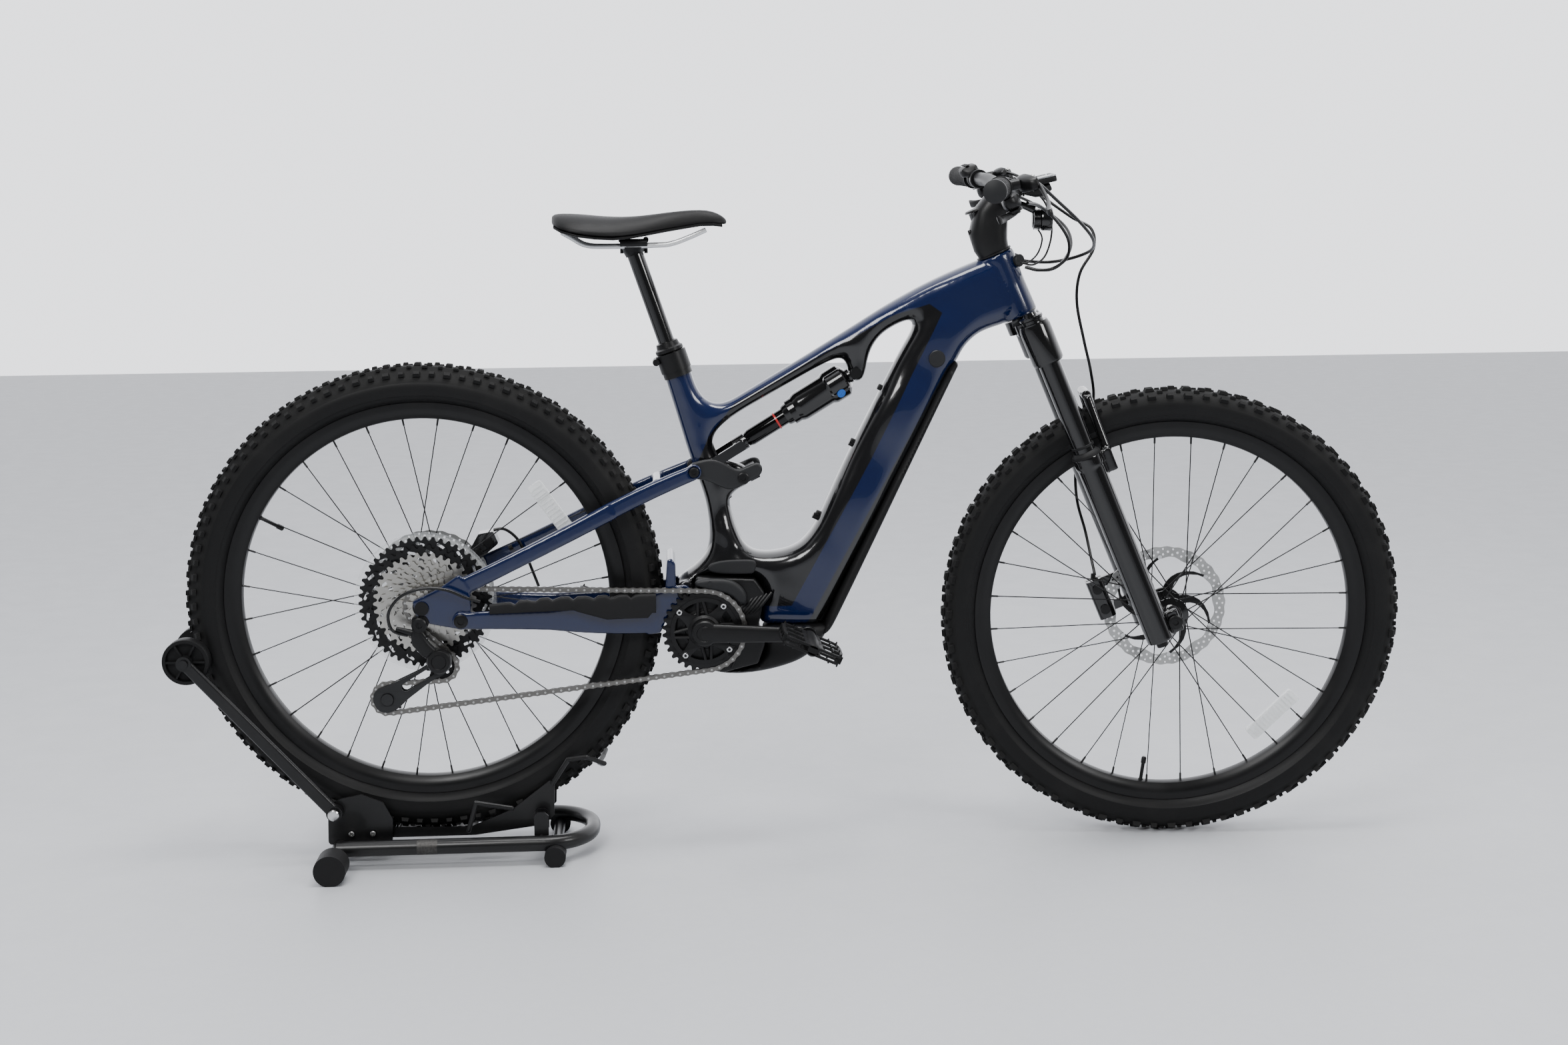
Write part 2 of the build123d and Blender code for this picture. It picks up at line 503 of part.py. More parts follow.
def wheel(prefix, plane, tyre_r, rotor_y, flange_ys, hub_ends, bore):
    """The five pieces of one wheel, turned about the plane's z axis, which points to the left side."""
    with BuildPart() as tyre:
        with BuildSketch(Plane(origin=plane.origin, x_dir=plane.x_dir, z_dir=-plane.y_dir)) as profile:
            half = TYRE_W / 2
            for inset, mode in ((0, Mode.ADD), (4, Mode.SUBTRACT)):
                foot = 312 if inset == 0 else 300
                with BuildLine():
                    wide, top, neck = half - inset, tyre_r - inset, 13.8 - inset
                    Polyline((foot, neck), (foot, -neck), (319, -neck))
                    ThreePointArc((319, -neck), (330, -wide + 3.5), (349, -wide))
                    ThreePointArc((349, -wide), (tyre_r - inset - 7, -wide * 0.7), (top, 0))
                    ThreePointArc((top, 0), (tyre_r - inset - 7, wide * 0.7), (349, wide))
                    ThreePointArc((349, wide), (330, wide - 3.5), (319, neck))
                    Line((319, neck), (foot, neck))
                make_face(mode=mode)
        revolve(profile.sketch, Axis(plane.origin, plane.z_dir))
    save(tyre, f"{prefix}_tyre")

    with BuildPart() as rim:
        with BuildSketch(Plane(origin=plane.origin, x_dir=plane.x_dir, z_dir=-plane.y_dir)) as profile:
            with BuildLine():
                Polyline((RIM_INNER_R, -9), (304, -17), (318, -17), (318, -14), (311.8, -14), (311.8, 14),
                         (318, 14), (318, 17), (304, 17), (RIM_INNER_R, 9), close=True)
            make_face()
            with BuildLine():
                well = [(296, -8), (305, -14.5), (309.5, -14.5), (309.5, 14.5), (305, 14.5), (296, 8)]
                Polyline(*well, close=True)
            make_face(mode=Mode.SUBTRACT)
        revolve(profile.sketch, Axis(plane.origin, plane.z_dir))
    save(rim, f"{prefix}_rim")

    def shell(low, high, radius, mode=Mode.ADD):
        ends = [plane.from_local_coords(Vector(0, 0, height)) for height in (low, high)]
        rod(*ends, radius, mode)

    with BuildPart() as hub:
        shell(*hub_ends, 13)
        shell(flange_ys[0], flange_ys[1], 19)
        for y in flange_ys:
            shell(y - 1.6, y + 1.6, HUB_FLANGE_R)
        shell(rotor_y - 9, rotor_y - 1, 22)
        shell(-200, 200, bore, Mode.SUBTRACT)
    save(hub, f"{prefix}_hub")

    with BuildPart() as spokes:
        for number in range(SPOKES):
            flange = flange_ys[number % 2]
            pair = number // 2
            rim_angle = 2 * pi * (number + 0.5) / SPOKES
            lead = radians(58) * (1 if pair % 2 else -1)
            start_r = HUB_FLANGE_R - 3
            inner = Vector(start_r * cos(rim_angle + lead), start_r * sin(rim_angle + lead),
                           flange + (3.4 if pair % 2 else -3.4))
            seat_side = 3 if number % 2 else -3
            outer = Vector(RIM_INNER_R * cos(rim_angle), RIM_INNER_R * sin(rim_angle), seat_side)
            short = outer + (inner - outer) * (0.4 / (inner - outer).length)
            rod(plane.from_local_coords(inner), plane.from_local_coords(short), SPOKE_R)
    save(spokes, f"{prefix}_spokes")

    with BuildPart() as rotor:
        shell(rotor_y - 0.9, rotor_y + 0.9, ROTOR_R)
        shell(rotor_y - 5, rotor_y + 5, 82, Mode.SUBTRACT)
        shell(rotor_y - 1, rotor_y + 1, 30)
        for arm in range(5):
            a = 2 * pi * arm / 5
            b = a + radians(24)
            start = plane.from_local_coords(Vector(26 * cos(a), 26 * sin(a), rotor_y))
            end = plane.from_local_coords(Vector(85 * cos(b), 85 * sin(b), rotor_y))
            middle = (start + end) / 2 - plane.z_dir
            with BuildSketch(Plane(origin=middle, x_dir=end - start, z_dir=plane.z_dir)) as arm_face:
                Rectangle((end - start).length, 9)
            extrude(arm_face.sketch, amount=2)
        shell(rotor_y - 5, rotor_y + 5, 17, Mode.SUBTRACT)
    save(rotor, f"{prefix}_rotor")


REAR = Plane(origin=spot(0, REAR_AXLE_Z), x_dir=(1, 0, 0), z_dir=(0, 1, 0))
FRONT = Plane(origin=ahead(FORK_OFFSET, 0, 0), x_dir=STEER.x_dir, z_dir=STEER.y_dir)
wheel("rear", REAR, REAR_TYRE_R, REAR_ROTOR_Y, (-20, 36), (-24, 66), AXLE_R + RUN_GAP)
FRONT_ROTOR_Y = 40
wheel("front", FRONT, FRONT_TYRE_R, FRONT_ROTOR_Y, (-26, 26), (-54, 54), AXLE_R + RUN_GAP)

# ---------------------------------------------------------------- drivetrain
COG_TEETH = (10, 12, 14, 16, 18, 21, 24, 28, 33, 39, 45, 51)
COG_STEP = 3.75
COG_THICK = 1.8
SMALLEST_COG_Y = -68
with BuildPart() as cassette:
    for number, teeth in enumerate(COG_TEETH):
        y = SMALLEST_COG_Y + number * COG_STEP
        pin((0, REAR_AXLE_Z), y, y + COG_THICK, CHAIN_PITCH / 2 / sin(pi / teeth) + 1.5)
    pin((0, REAR_AXLE_Z), SMALLEST_COG_Y, SMALLEST_COG_Y + 11 * COG_STEP + COG_THICK, 15)
    pin((0, REAR_AXLE_Z), -90, 0, AXLE_R + RUN_GAP, Mode.SUBTRACT)
save(cassette, "cassette")

SPINDLE_R = 12
BRACKET = (BRACKET_X, BRACKET_Z)
ring_arms = 4
with BuildPart() as chainring:
    pin(BRACKET, CHAIN_Y + 2, CHAIN_Y - 2, ring_r - 3.5)
    pin(BRACKET, CHAIN_Y + 5, CHAIN_Y - 5, 48, Mode.SUBTRACT)
    for arm in range(ring_arms):
        a = 2 * pi * (arm + 0.5) / ring_arms
        tip = (BRACKET_X + 52 * cos(a), BRACKET_Z + 52 * sin(a))
        link(BRACKET, tip, CHAIN_Y + 1.9, 3.8, 8)
    pin(BRACKET, CHAIN_Y + 2, -64, 22)
    pin(BRACKET, -40, -80, SPINDLE_R, Mode.SUBTRACT)
save(chainring, "chainring")

PEDAL_DROP = -4
right_eye = (BRACKET_X + CRANK_LENGTH, BRACKET_Z + PEDAL_DROP)
left_eye = (BRACKET_X - CRANK_LENGTH, BRACKET_Z - PEDAL_DROP)
with BuildPart() as crank_arm_right:
    pin(BRACKET, -64.1, -80, 20)
    tube_along([(BRACKET_X, BRACKET_Z, -72, 33, 14), (BRACKET_X + 60, BRACKET_Z - 1, -76, 30, 14),
                (right_eye[0], right_eye[1], -83, 26, 14)])
    pin(right_eye, -76, -90, 14)
    pin(right_eye, -60, -100, 7, Mode.SUBTRACT)
    pin(BRACKET, -40, -79, SPINDLE_R, Mode.SUBTRACT)
save(crank_arm_right, "crank_arm_right")

with BuildPart() as crank_arm_left:
    pin(BRACKET, 52, 80, 20)
    tube_along([(BRACKET_X, BRACKET_Z, 72, 33, 14), (BRACKET_X - 60, BRACKET_Z + 1, 76, 30, 14),
                (left_eye[0], left_eye[1], 83, 26, 14)])
    pin(left_eye, 76, 90, 14)
    pin(left_eye, 60, 100, 7, Mode.SUBTRACT)
    pin(BRACKET, -78.9, 60, SPINDLE_R)
save(crank_arm_left, "crank_arm_left")

PEDAL_TILT = radians(24)
for name, eye, way in (("pedal_right", right_eye, -1), ("pedal_left", left_eye, 1)):
    with BuildPart() as pedal:
        pin(eye, way * 76.2, way * 196, 6.9)
        pin(eye, way * 90.5, way * 98, 9)
        pedal_plane = Plane(origin=spot(*eye, way * 147), x_dir=(cos(PEDAL_TILT), 0, -sin(PEDAL_TILT)),
                            z_dir=(sin(PEDAL_TILT), 0, cos(PEDAL_TILT)))
        with BuildSketch(pedal_plane.offset(-8)) as face:
            RectangleRounded(98, 98, 12)
            for x in (-29, 29):
                for y in (-22, 22):
                    with Locations((x, y)):
                        RectangleRounded(24, 30, 4, mode=Mode.SUBTRACT)
        extrude(face.sketch, amount=16)
    save(pedal, name)

COG_R = CHAIN_PITCH / 2 / sin(pi / 14)
COG_CHAIN_Y = SMALLEST_COG_Y + 2 * COG_STEP + COG_THICK / 2
CHAIN_W, CHAIN_H = 5.2, 8
with BuildPart() as chain:
    lift = 0.8
    chain_r = ring_r + lift
    cog_top = REAR_AXLE_Z + COG_R + 4.2
    ring_top, ring_bottom = BRACKET_Z + chain_r, BRACKET_Z - chain_r
    pulley_bottom = TENSION_AXLE[1] - 24.6
    tube_along([(4, cog_top, COG_CHAIN_Y, CHAIN_H - 3, CHAIN_W),
                (120, cog_top - 3, COG_CHAIN_Y + 1, CHAIN_H, CHAIN_W),
                (BRACKET_X, ring_top, CHAIN_Y, CHAIN_H, CHAIN_W)])
    with BuildSketch(side(CHAIN_Y + CHAIN_W / 2)) as wrap:
        with Locations(BRACKET):
            Circle(chain_r + CHAIN_H / 2)
            Circle(chain_r - CHAIN_H / 2, mode=Mode.SUBTRACT)
        with Locations((BRACKET_X - 50, BRACKET_Z)):
            Rectangle(100, 200, mode=Mode.SUBTRACT)
    extrude(wrap.sketch, amount=CHAIN_W)
    tube_along([(BRACKET_X, ring_bottom, CHAIN_Y, CHAIN_H, CHAIN_W),
                (TENSION_AXLE[0], pulley_bottom, CAGE_Y, CHAIN_H, CHAIN_W)])
    pin(BRACKET, -80, 0, ring_r - 3.3, Mode.SUBTRACT)
save(chain, "chain")

# ---------------------------------------------------------------- fork and steering
LEG_X, LEG_Y = 12, 66
STANCHION_R = 17.5
CROWN_TOP = 544
FORK_TRAVEL = 140
with BuildPart() as fork_upper:
    bar((0, 0, 522), (0, 0, 726), STEERER_R)
    bar((0, 0, 522), (0, 0, CROWN_TOP), 26)
    for way in (-1, 1):
        bar((LEG_X, way * LEG_Y, 150), (LEG_X, way * LEG_Y, CROWN_TOP - 2), STANCHION_R)
        bar((LEG_X, way * LEG_Y, 468), (LEG_X, way * LEG_Y, 536), 23)
    block((-16, -66, 522), (28, 66, 540), 12)
    bar((0, 0, 640), (0, 0, 730), 11, Mode.SUBTRACT)
save(fork_upper, "fork_upper")

with BuildPart() as fork_lowers:
    for way in (-1, 1):
        bar((LEG_X, way * LEG_Y, -20), (LEG_X, way * LEG_Y, 306), 22)
        bar((LEG_X, way * LEG_Y, 290), (LEG_X, way * LEG_Y, 308), 23.5)
        block((10, way * 62 - 6.5, -18), (54, way * 62 + 6.5, 20), 4)
        block((28, way * 60 - 7, 268), (52, way * 60 + 7, 306), 4)
        rod(ahead(46, way * 57, 296), ahead(50, way * 28, 388), 7.5)
        bar((LEG_X, way * LEG_Y, 0), (LEG_X, way * LEG_Y, 400), STANCHION_R + RUN_GAP, Mode.SUBTRACT)
    rod(ahead(50, -30, 390), ahead(50, 30, 390), 8)
    rod(ahead(FORK_OFFSET, -70, 0), ahead(FORK_OFFSET, 70, 0), AXLE_R)
save(fork_lowers, "fork_lowers")

with BuildPart() as front_caliper:
    block((-62, FRONT_ROTOR_Y - 14, 20), (-34, FRONT_ROTOR_Y + 12, 88), 8)
    block((-60, FRONT_ROTOR_Y - 1.8, 0), (0, FRONT_ROTOR_Y + 1.8, 100), 0, Mode.SUBTRACT)
    block((-40, FRONT_ROTOR_Y + 4, 24), (-8, FRONT_ROTOR_Y + 12, 40), 3)
    block((-40, FRONT_ROTOR_Y + 4, 68), (-8, FRONT_ROTOR_Y + 12, 84), 3)
    add(fork_lowers.part, mode=Mode.SUBTRACT)
save(front_caliper, "front_caliper")

BAR_X, BAR_Z = 52, 735
BAR_ENDS = (13, 385, 768)
BAR_R = 15.9
GRIP_R = 11.1
with BuildPart() as stem:
    bar((0, 0, 653), (0, 0, 726), 27)
    block((-4, -22, 664), (46, 22, 722), 8)
    rod(ahead(BAR_X, -24, BAR_Z), ahead(BAR_X, 24, BAR_Z), 23)
    rod(ahead(BAR_X, -60, BAR_Z), ahead(BAR_X, 60, BAR_Z), BAR_R + 0.01, Mode.SUBTRACT)
    bar((0, 0, 600), (0, 0, 726.1), STEERER_R, Mode.SUBTRACT)
    bar((0, 0, 726), (0, 0, 731), 20)
    bar((0, 0, 700), (0, 0, 731), 10.9)
save(stem, "stem")

bar_points = [(BAR_X, 0, BAR_Z), (BAR_X, 60, BAR_Z), (BAR_X - 9, 150, BAR_Z + 20), BAR_ENDS]
with BuildPart() as handlebar:
    for way in (-1, 1):
        radii = [BAR_R, 14, GRIP_R, GRIP_R]
        points = [ahead(x, way * y, z) for x, y, z in bar_points]
        rod(points[0], points[1], BAR_R)
        with BuildSketch(Plane(origin=points[1], z_dir=points[1] - points[0])) as thick:
            Circle(BAR_R)
        with BuildSketch(Plane(origin=points[2], z_dir=points[2] - points[1])) as thin:
            Circle(GRIP_R)
        loft([thick.sketch, thin.sketch])
        rod(points[2], points[3], GRIP_R)
        with Locations(points[2]):
            Sphere(GRIP_R)
save(handlebar, "handlebar")


def on_bar(distance, way, x=0, z=0):
    """A point beside the straight outer part of the bar, measured in from its end."""
    end, inner = Vector(*BAR_ENDS), Vector(*bar_points[2])
    place = end + (inner - end).normalized() * distance
    return ahead(place.X + x, way * place.Y, place.Z + z)


GRIP_LENGTH = 132
with BuildPart() as grips:
    for way in (-1, 1):
        rod(on_bar(-4, way), on_bar(GRIP_LENGTH, way), 16)
        rod(on_bar(0, way), on_bar(GRIP_LENGTH + 1, way), GRIP_R + 0.01, Mode.SUBTRACT)
save(grips, "grips")

with BuildPart() as control_pods:
    for way in (-1, 1):
        rod(on_bar(162, way), on_bar(176, way), 16)
        rod(on_bar(186, way, 30, -6), on_bar(150, way, 26, -6), 10)
        rod(on_bar(169, way), on_bar(169, way, 30, -6), 6)
        rod(on_bar(140, way), on_bar(152, way), 15)
        rod(on_bar(146, way, 4, -14), on_bar(146, way, 6, -34), 13)
        rod(on_bar(160, way), on_bar(130, way), GRIP_R + 0.01, Mode.SUBTRACT)
        rod(on_bar(180, way), on_bar(130, way), GRIP_R + 0.01, Mode.SUBTRACT)
save(control_pods, "control_pods")

LEVER_BLADE = [(176, 47, -14), (150, 54, -28), (100, 58, -46), (52, 56, -58)]
for name, way in (("brake_lever_right", -1), ("brake_lever_left", 1)):
    with BuildPart() as lever:
        points = [on_bar(distance, way, x, z) for distance, x, z in LEVER_BLADE]
        for start, end in zip(points, points[1:]):
            rod(start, end, 4.5)
            with Locations(end):
                Sphere(4.9)
        rod(on_bar(176, way, 47, -22), on_bar(176, way, 47, -8), 6.5)
    save(lever, name)

for name, way in (("shift_lever", -1), ("dropper_lever", 1)):
    with BuildPart() as lever:
        rod(on_bar(146, way, 6.5, -37), on_bar(146, way, 6.5, -43), 9)
        rod(on_bar(146, way, 6.5, -41), on_bar(112, way, -16, -41), 4)
        rod(on_bar(112, way, -16, -45), on_bar(112, way, -16, -37), 7)
    save(lever, name)

with BuildPart() as display:
    for y in (-38, 28):
        rod(ahead(BAR_X, y, BAR_Z), ahead(BAR_X, y + 10, BAR_Z), 20)
        rod(ahead(BAR_X + 18, y + 5, BAR_Z - 2), ahead(100, y + 5, 727), 4)
    face_up = ahead(0.18, 0, 0.984) - ahead(0, 0, 0)
    with BuildSketch(Plane(origin=ahead(104, 0, 727), x_dir=STEER.y_dir, z_dir=face_up)) as face:
        RectangleRounded(86, 54, 8)
    extrude(face.sketch, amount=10)
    for y in (-38, 28):
        rod(ahead(BAR_X, y - 5, BAR_Z), ahead(BAR_X, y + 15, BAR_Z), BAR_R + 0.01, Mode.SUBTRACT)
save(display, "display")

with BuildPart() as headlight:
    rod(ahead(75, 0, 680), ahead(104, 0, 668), 18.5)
    rod(ahead(61, 0, 710), ahead(86, 0, 684), 5)
    add(display.part, mode=Mode.SUBTRACT)
save(headlight, "headlight")

# ---------------------------------------------------------------- cables
HOSE_D = 5
CONTROL_ROUTES = {
    "rear_brake_hose": [(78, -196, 752), (92, -158, 738), (112, -122, 700), (134, -84, 656), (148, -40, 618),
                        (144, 4, 598), (118, 34, 594), (84, 44, 600), (56, 43, 612), (36, 38, 624)],
    "shifter_housing": [(62, -206, 722), (80, -166, 708), (98, -126, 676), (108, -90, 638), (100, -60, 610),
                        (76, -44, 600), (52, -42, 606), (35, -36, 618)],
    "dropper_housing": [(62, 206, 722), (82, 166, 708), (108, 124, 676), (126, 82, 642), (122, 42, 616),
                        (100, 8, 600), (76, -16, 596), (54, -24, 604), (38, -26, 616)],
}
with BuildPart() as control_cables:
    for label, route in CONTROL_ROUTES.items():
        cord(label, [ahead(*point) for point in route], HOSE_D)
save(control_cables, "control_cables")

FRONT_HOSE = [(78, 196, 752), (94, 158, 738), (116, 130, 694), (144, 110, 648), (165, 94, 620),
              (156, 82, 590), (120, 74, 562), (98, 72, 520), (86, 72, 458), (78, 72, 408), (66, 84, 360),
              (38, 96, 318), (2, 98, 270), (-20, 92, 214), (-28, 78, 160), (-36, 62, 120), (-42, 47, 91)]
with BuildPart() as front_brake_hose:
    cord("front_brake_hose", [ahead(*point) for point in FRONT_HOSE], HOSE_D)
save(front_brake_hose, "front_brake_hose")

REAR_HOSE = [(104, 521, 55), (122, 522, 55), (142, 506, 54), (156, 478, 52), (166, 450, 54), (174, 426, 58)]
GEAR_HOUSING = [(92, 432, -88), (70, 440, -92), (40, 453, -93), (4, 456, -93), (-30, 444, -92),
                (-50, 418, -90), (-46, 390, -88), (-22, 380, -86)]
with BuildPart() as rear_cables:
    cord("rear_hose", [spot(x, z, y) for x, z, y in REAR_HOSE], HOSE_D)
    cord("gear_housing", [spot(x, z, y) for x, z, y in GEAR_HOUSING], HOSE_D)
save(rear_cables, "rear_cables")

# ---------------------------------------------------------------- saddle
SADDLE = [(221, 1018, 0, 20, 92), (262, 1012, 0, 34, 140), (330, 1008, 0, 30, 104), (410, 1019, 0, 26, 52)]
SADDLE += [(486, 1019, 0, 18, 34)]
RAIL = [(236, 1006), (272, 979), (404, 979), (452, 1010)]
with BuildPart() as saddle:
    tube_along(SADDLE)
save(saddle, "saddle")

with BuildPart() as saddle_rails:
    for way in (-1, 1):
        points = [spot(x, z, way * 22) for x, z in RAIL]
        for start, end in zip(points, points[1:]):
            rod(start, end, 3.5)
            with Locations(end):
                Sphere(3.5)
    add(saddle.part, mode=Mode.SUBTRACT)
save(saddle_rails, "saddle_rails")

with BuildPart() as dropper_upper:
    rod(seat_point(-110), seat_point(166), 13)
    pin((343, 972), -31, 31, 13)
    slab([(322, 966), (366, 966), (364, 986), (324, 986)], 60, 4)
    slab([(300, 974.5), (390, 974.5), (390, 990), (300, 990)], 30, mode=Mode.SUBTRACT)
    add(saddle_rails.part, mode=Mode.SUBTRACT)
    add(saddle.part, mode=Mode.SUBTRACT)
save(dropper_upper, "dropper_upper")
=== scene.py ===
from math import atan2, cos, hypot, pi, radians, sin, sqrt

import bmesh
import bpy
from mathutils import Matrix, Vector
from mathutils.geometry import delaunay_2d_cdt
from mathutils.kdtree import KDTree


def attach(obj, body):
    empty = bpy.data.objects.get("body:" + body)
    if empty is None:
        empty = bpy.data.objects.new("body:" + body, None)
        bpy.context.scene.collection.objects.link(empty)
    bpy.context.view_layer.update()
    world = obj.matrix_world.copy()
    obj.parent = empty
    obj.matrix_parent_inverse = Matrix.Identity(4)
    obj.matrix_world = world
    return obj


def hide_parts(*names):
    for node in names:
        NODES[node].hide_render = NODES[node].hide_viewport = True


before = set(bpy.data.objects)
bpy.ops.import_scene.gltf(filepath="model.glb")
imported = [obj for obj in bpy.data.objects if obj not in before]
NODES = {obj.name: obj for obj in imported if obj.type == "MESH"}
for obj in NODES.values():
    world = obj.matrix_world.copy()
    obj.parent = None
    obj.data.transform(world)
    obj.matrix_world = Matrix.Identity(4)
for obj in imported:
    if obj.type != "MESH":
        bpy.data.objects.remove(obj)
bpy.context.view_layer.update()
scene = bpy.context.scene
MM = 0.001
REAR_X = -582
X_AXIS, Y_AXIS, Z_AXIS = Vector((1, 0, 0)), Vector((0, 1, 0)), Vector((0, 0, 1))
PI2 = 2 * pi
CHAIN_PITCH = 12.7
AXLE_Z = 421
CRANK_X, CRANK_Z, CRANK_LENGTH = 442, 370, 163
CHAIN_Y = -59.6
POST_UP = Vector((-0.3186, 0, 0.9479))


# ---------------------------------------------------------------- places
def at(x, z, y=0):
    """A point from its distance ahead of the rear axle, its height and its side offset, in millimetres."""
    return Vector((REAR_X + x, y, z)) * MM


LEAN = radians(67.4)
TURN = radians(-5)
UP = Vector((-cos(LEAN), 0, sin(LEAN)))
AHEAD0 = Vector((sin(LEAN), 0, cos(LEAN)))
STEER_FOOT = Vector((REAR_X + 1204, 0, 372.4)) - AHEAD0 * 44
AHEAD = Matrix.Rotation(TURN, 3, UP) @ AHEAD0
LEFT = UP.cross(AHEAD)


def ahead(x, y, z):
    """A point of the steering assembly: ahead of the steering axis, to the left, and up the axis."""
    return (STEER_FOOT + AHEAD * x + LEFT * y + UP * z) * MM


def place(origin, x_axis, y_axis):
    """Matrix of a local frame from its origin and two directions."""
    x_axis = x_axis.normalized()
    z_axis = x_axis.cross(y_axis).normalized()
    y_axis = z_axis.cross(x_axis)
    m = Matrix((x_axis, y_axis, z_axis)).transposed().to_4x4()
    m.translation = origin
    return m


def side_place(y):
    """Local x ahead of the rear axle and local y up, in metres; local z towards the drive side."""
    return place(Vector((REAR_X * MM, y * MM, 0)), X_AXIS, Z_AXIS)


# ---------------------------------------------------------------- materials
NAVY_TONE = (0.0015, 0.0068, 0.038)


def node(tree, kind, **values):
    n = tree.nodes.new(kind)
    for key, value in values.items():
        if key in n.inputs:
            n.inputs[key].default_value = value
        else:
            setattr(n, key, value)
    return n


def maths(tree, operation, *values):
    """A math node's output; each value is a number or a socket."""
    made = node(tree, "ShaderNodeMath", operation=operation)
    for socket, value in zip(made.inputs, values):
        if isinstance(value, (int, float)):
            socket.default_value = value
        else:
            tree.links.new(value, socket)
    return made.outputs[0]


def mapped(tree, value, **limits):
    """A number moved between ranges."""
    made = node(tree, "ShaderNodeMapRange")
    for key, limit in limits.items():
        made.inputs[key.replace("_", " ")].default_value = limit
    tree.links.new(value, made.inputs["Value"])
    return made.outputs["Result"]


def mixed(tree, factor, first, second):
    """Colour blended from first to second; first is a colour or a socket."""
    made = node(tree, "ShaderNodeMix", data_type="RGBA")
    if isinstance(first, tuple):
        made.inputs["A"].default_value = first
    else:
        tree.links.new(first, made.inputs["A"])
    made.inputs["B"].default_value = second
    tree.links.new(factor, made.inputs["Factor"])
    return made.outputs["Result"]


def surface(name, colour, rough, metal=0.0, coat=0.0, grain=400.0, bump=0.05, spread=0.12, tint=0.15,
            dust=0.0,
            specular=0.5):
    """Painted, moulded or metal surface with uneven roughness, colour drift, fine relief and dust."""
    mat = bpy.data.materials.new(name)
    mat.use_nodes = True
    tree = mat.node_tree
    shader = tree.nodes["Principled BSDF"]
    link = tree.links.new
    coords = tree.nodes.new("ShaderNodeTexCoord")
    broad = node(tree, "ShaderNodeTexNoise", Scale=14.0, Detail=4.0)
    fine = node(tree, "ShaderNodeTexNoise", Scale=grain, Detail=3.0)
    link(coords.outputs["Object"], broad.inputs["Vector"])
    link(coords.outputs["Object"], fine.inputs["Vector"])
    patchy = mapped(tree, broad.outputs["Fac"], To_Min=max(0.03, rough - spread),
                    To_Max=min(1.0, rough + spread))
    link(patchy, shader.inputs["Roughness"])
    dark = (*[c * (1 - tint) for c in colour], 1)
    light = (*[min(1, c * (1 + tint) + 0.002) for c in colour], 1)
    last = mixed(tree, fine.outputs["Fac"], dark, light)
    if dust:
        settled = mapped(tree, broad.outputs["Fac"], From_Min=0.52, From_Max=0.8, To_Max=dust)
        last = mixed(tree, settled, last, (0.22, 0.21, 0.2, 1))
    link(last, shader.inputs["Base Color"])
    relief = node(tree, "ShaderNodeBump", Strength=bump, Distance=0.0006)
    link(fine.outputs["Fac"], relief.inputs["Height"])
    link(relief.outputs["Normal"], shader.inputs["Normal"])
    shader.inputs["Metallic"].default_value = metal
    shader.inputs["Coat Weight"].default_value = coat
    shader.inputs["Coat Roughness"].default_value = 0.04
    shader.inputs["Specular IOR Level"].default_value = specular
    return mat


def half_planes(tree, x, z, lines):
    """Socket over zero where a point lies left of every line from a to b, in millimetres in side view."""
    inside = None
    for (ax, az), (bx, bz) in lines:
        run = hypot(bx - ax, bz - az)
        nx, nz = -(bz - az) / run, (bx - ax) / run
        slope = maths(tree, "MULTIPLY_ADD", z, nz, maths(tree, "MULTIPLY", x, nx))
        signed = maths(tree, "SUBTRACT", slope, ((REAR_X + ax) * nx + az * nz) * MM)
        inside = signed if inside is None else maths(tree, "MINIMUM", inside, signed)
    return inside


def frame_lacquer():
    """Navy lacquer with gloss black on the faces inside the main triangle and round the motor."""
    mat = surface("frame_lacquer", NAVY_TONE, 0.2, coat=0.7, grain=900, bump=0.012, spread=0.05, tint=0.12,
                  specular=0.3)
    tree = mat.node_tree
    shader = tree.nodes["Principled BSDF"]
    coords = tree.nodes.new("ShaderNodeTexCoord")
    split = tree.nodes.new("ShaderNodeSeparateXYZ")
    tree.links.new(coords.outputs["Object"], split.inputs[0])
    x, z = split.outputs["X"], split.outputs["Z"]
    corners = [(583, 404), (712, 637), (826, 868), (806, 882), (749, 865), (550, 758), (496, 728), (455, 677),
               (437, 637),
               (434, 600), (438, 440)]
    inside = half_planes(tree, x, z, list(zip(corners, corners[1:] + corners[:1])))
    motor = [((583, 404), (650, 525)), ((650, 525), (380, 560)), ((380, 560), (380, 402)),
             ((380, 402), (583, 404))]
    low = half_planes(tree, x, z, motor)
    either = maths(tree, "MAXIMUM", inside, low)
    edge = mapped(tree, either, From_Min=-0.0006, From_Max=0.0006)
    last = mixed(tree, edge, shader.inputs["Base Color"].links[0].from_socket, (0.003, 0.003, 0.0035, 1))
    cover = half_planes(tree, x, z, [((783, 689), (629, 412)), ((870, 806), (815, 770))])
    strip = half_planes(tree, x, z, [((791, 684.5), (637, 407.5)), ((870, 806), (815, 770))])
    for region, shade in ((cover, (0.012, 0.0125, 0.014, 1)), (strip, (0.003, 0.003, 0.003, 1))):
        last = mixed(tree, mapped(tree, region, From_Min=-0.0005, From_Max=0.0005), last, shade)
    tree.links.new(last, shader.inputs["Base Color"])
    return mat


def brushed(name, colour, rough):
    """Ground or plated steel with fine relief."""
    return surface(name, colour, rough, metal=1.0, grain=1600, bump=0.08, spread=0.1, tint=0.2)


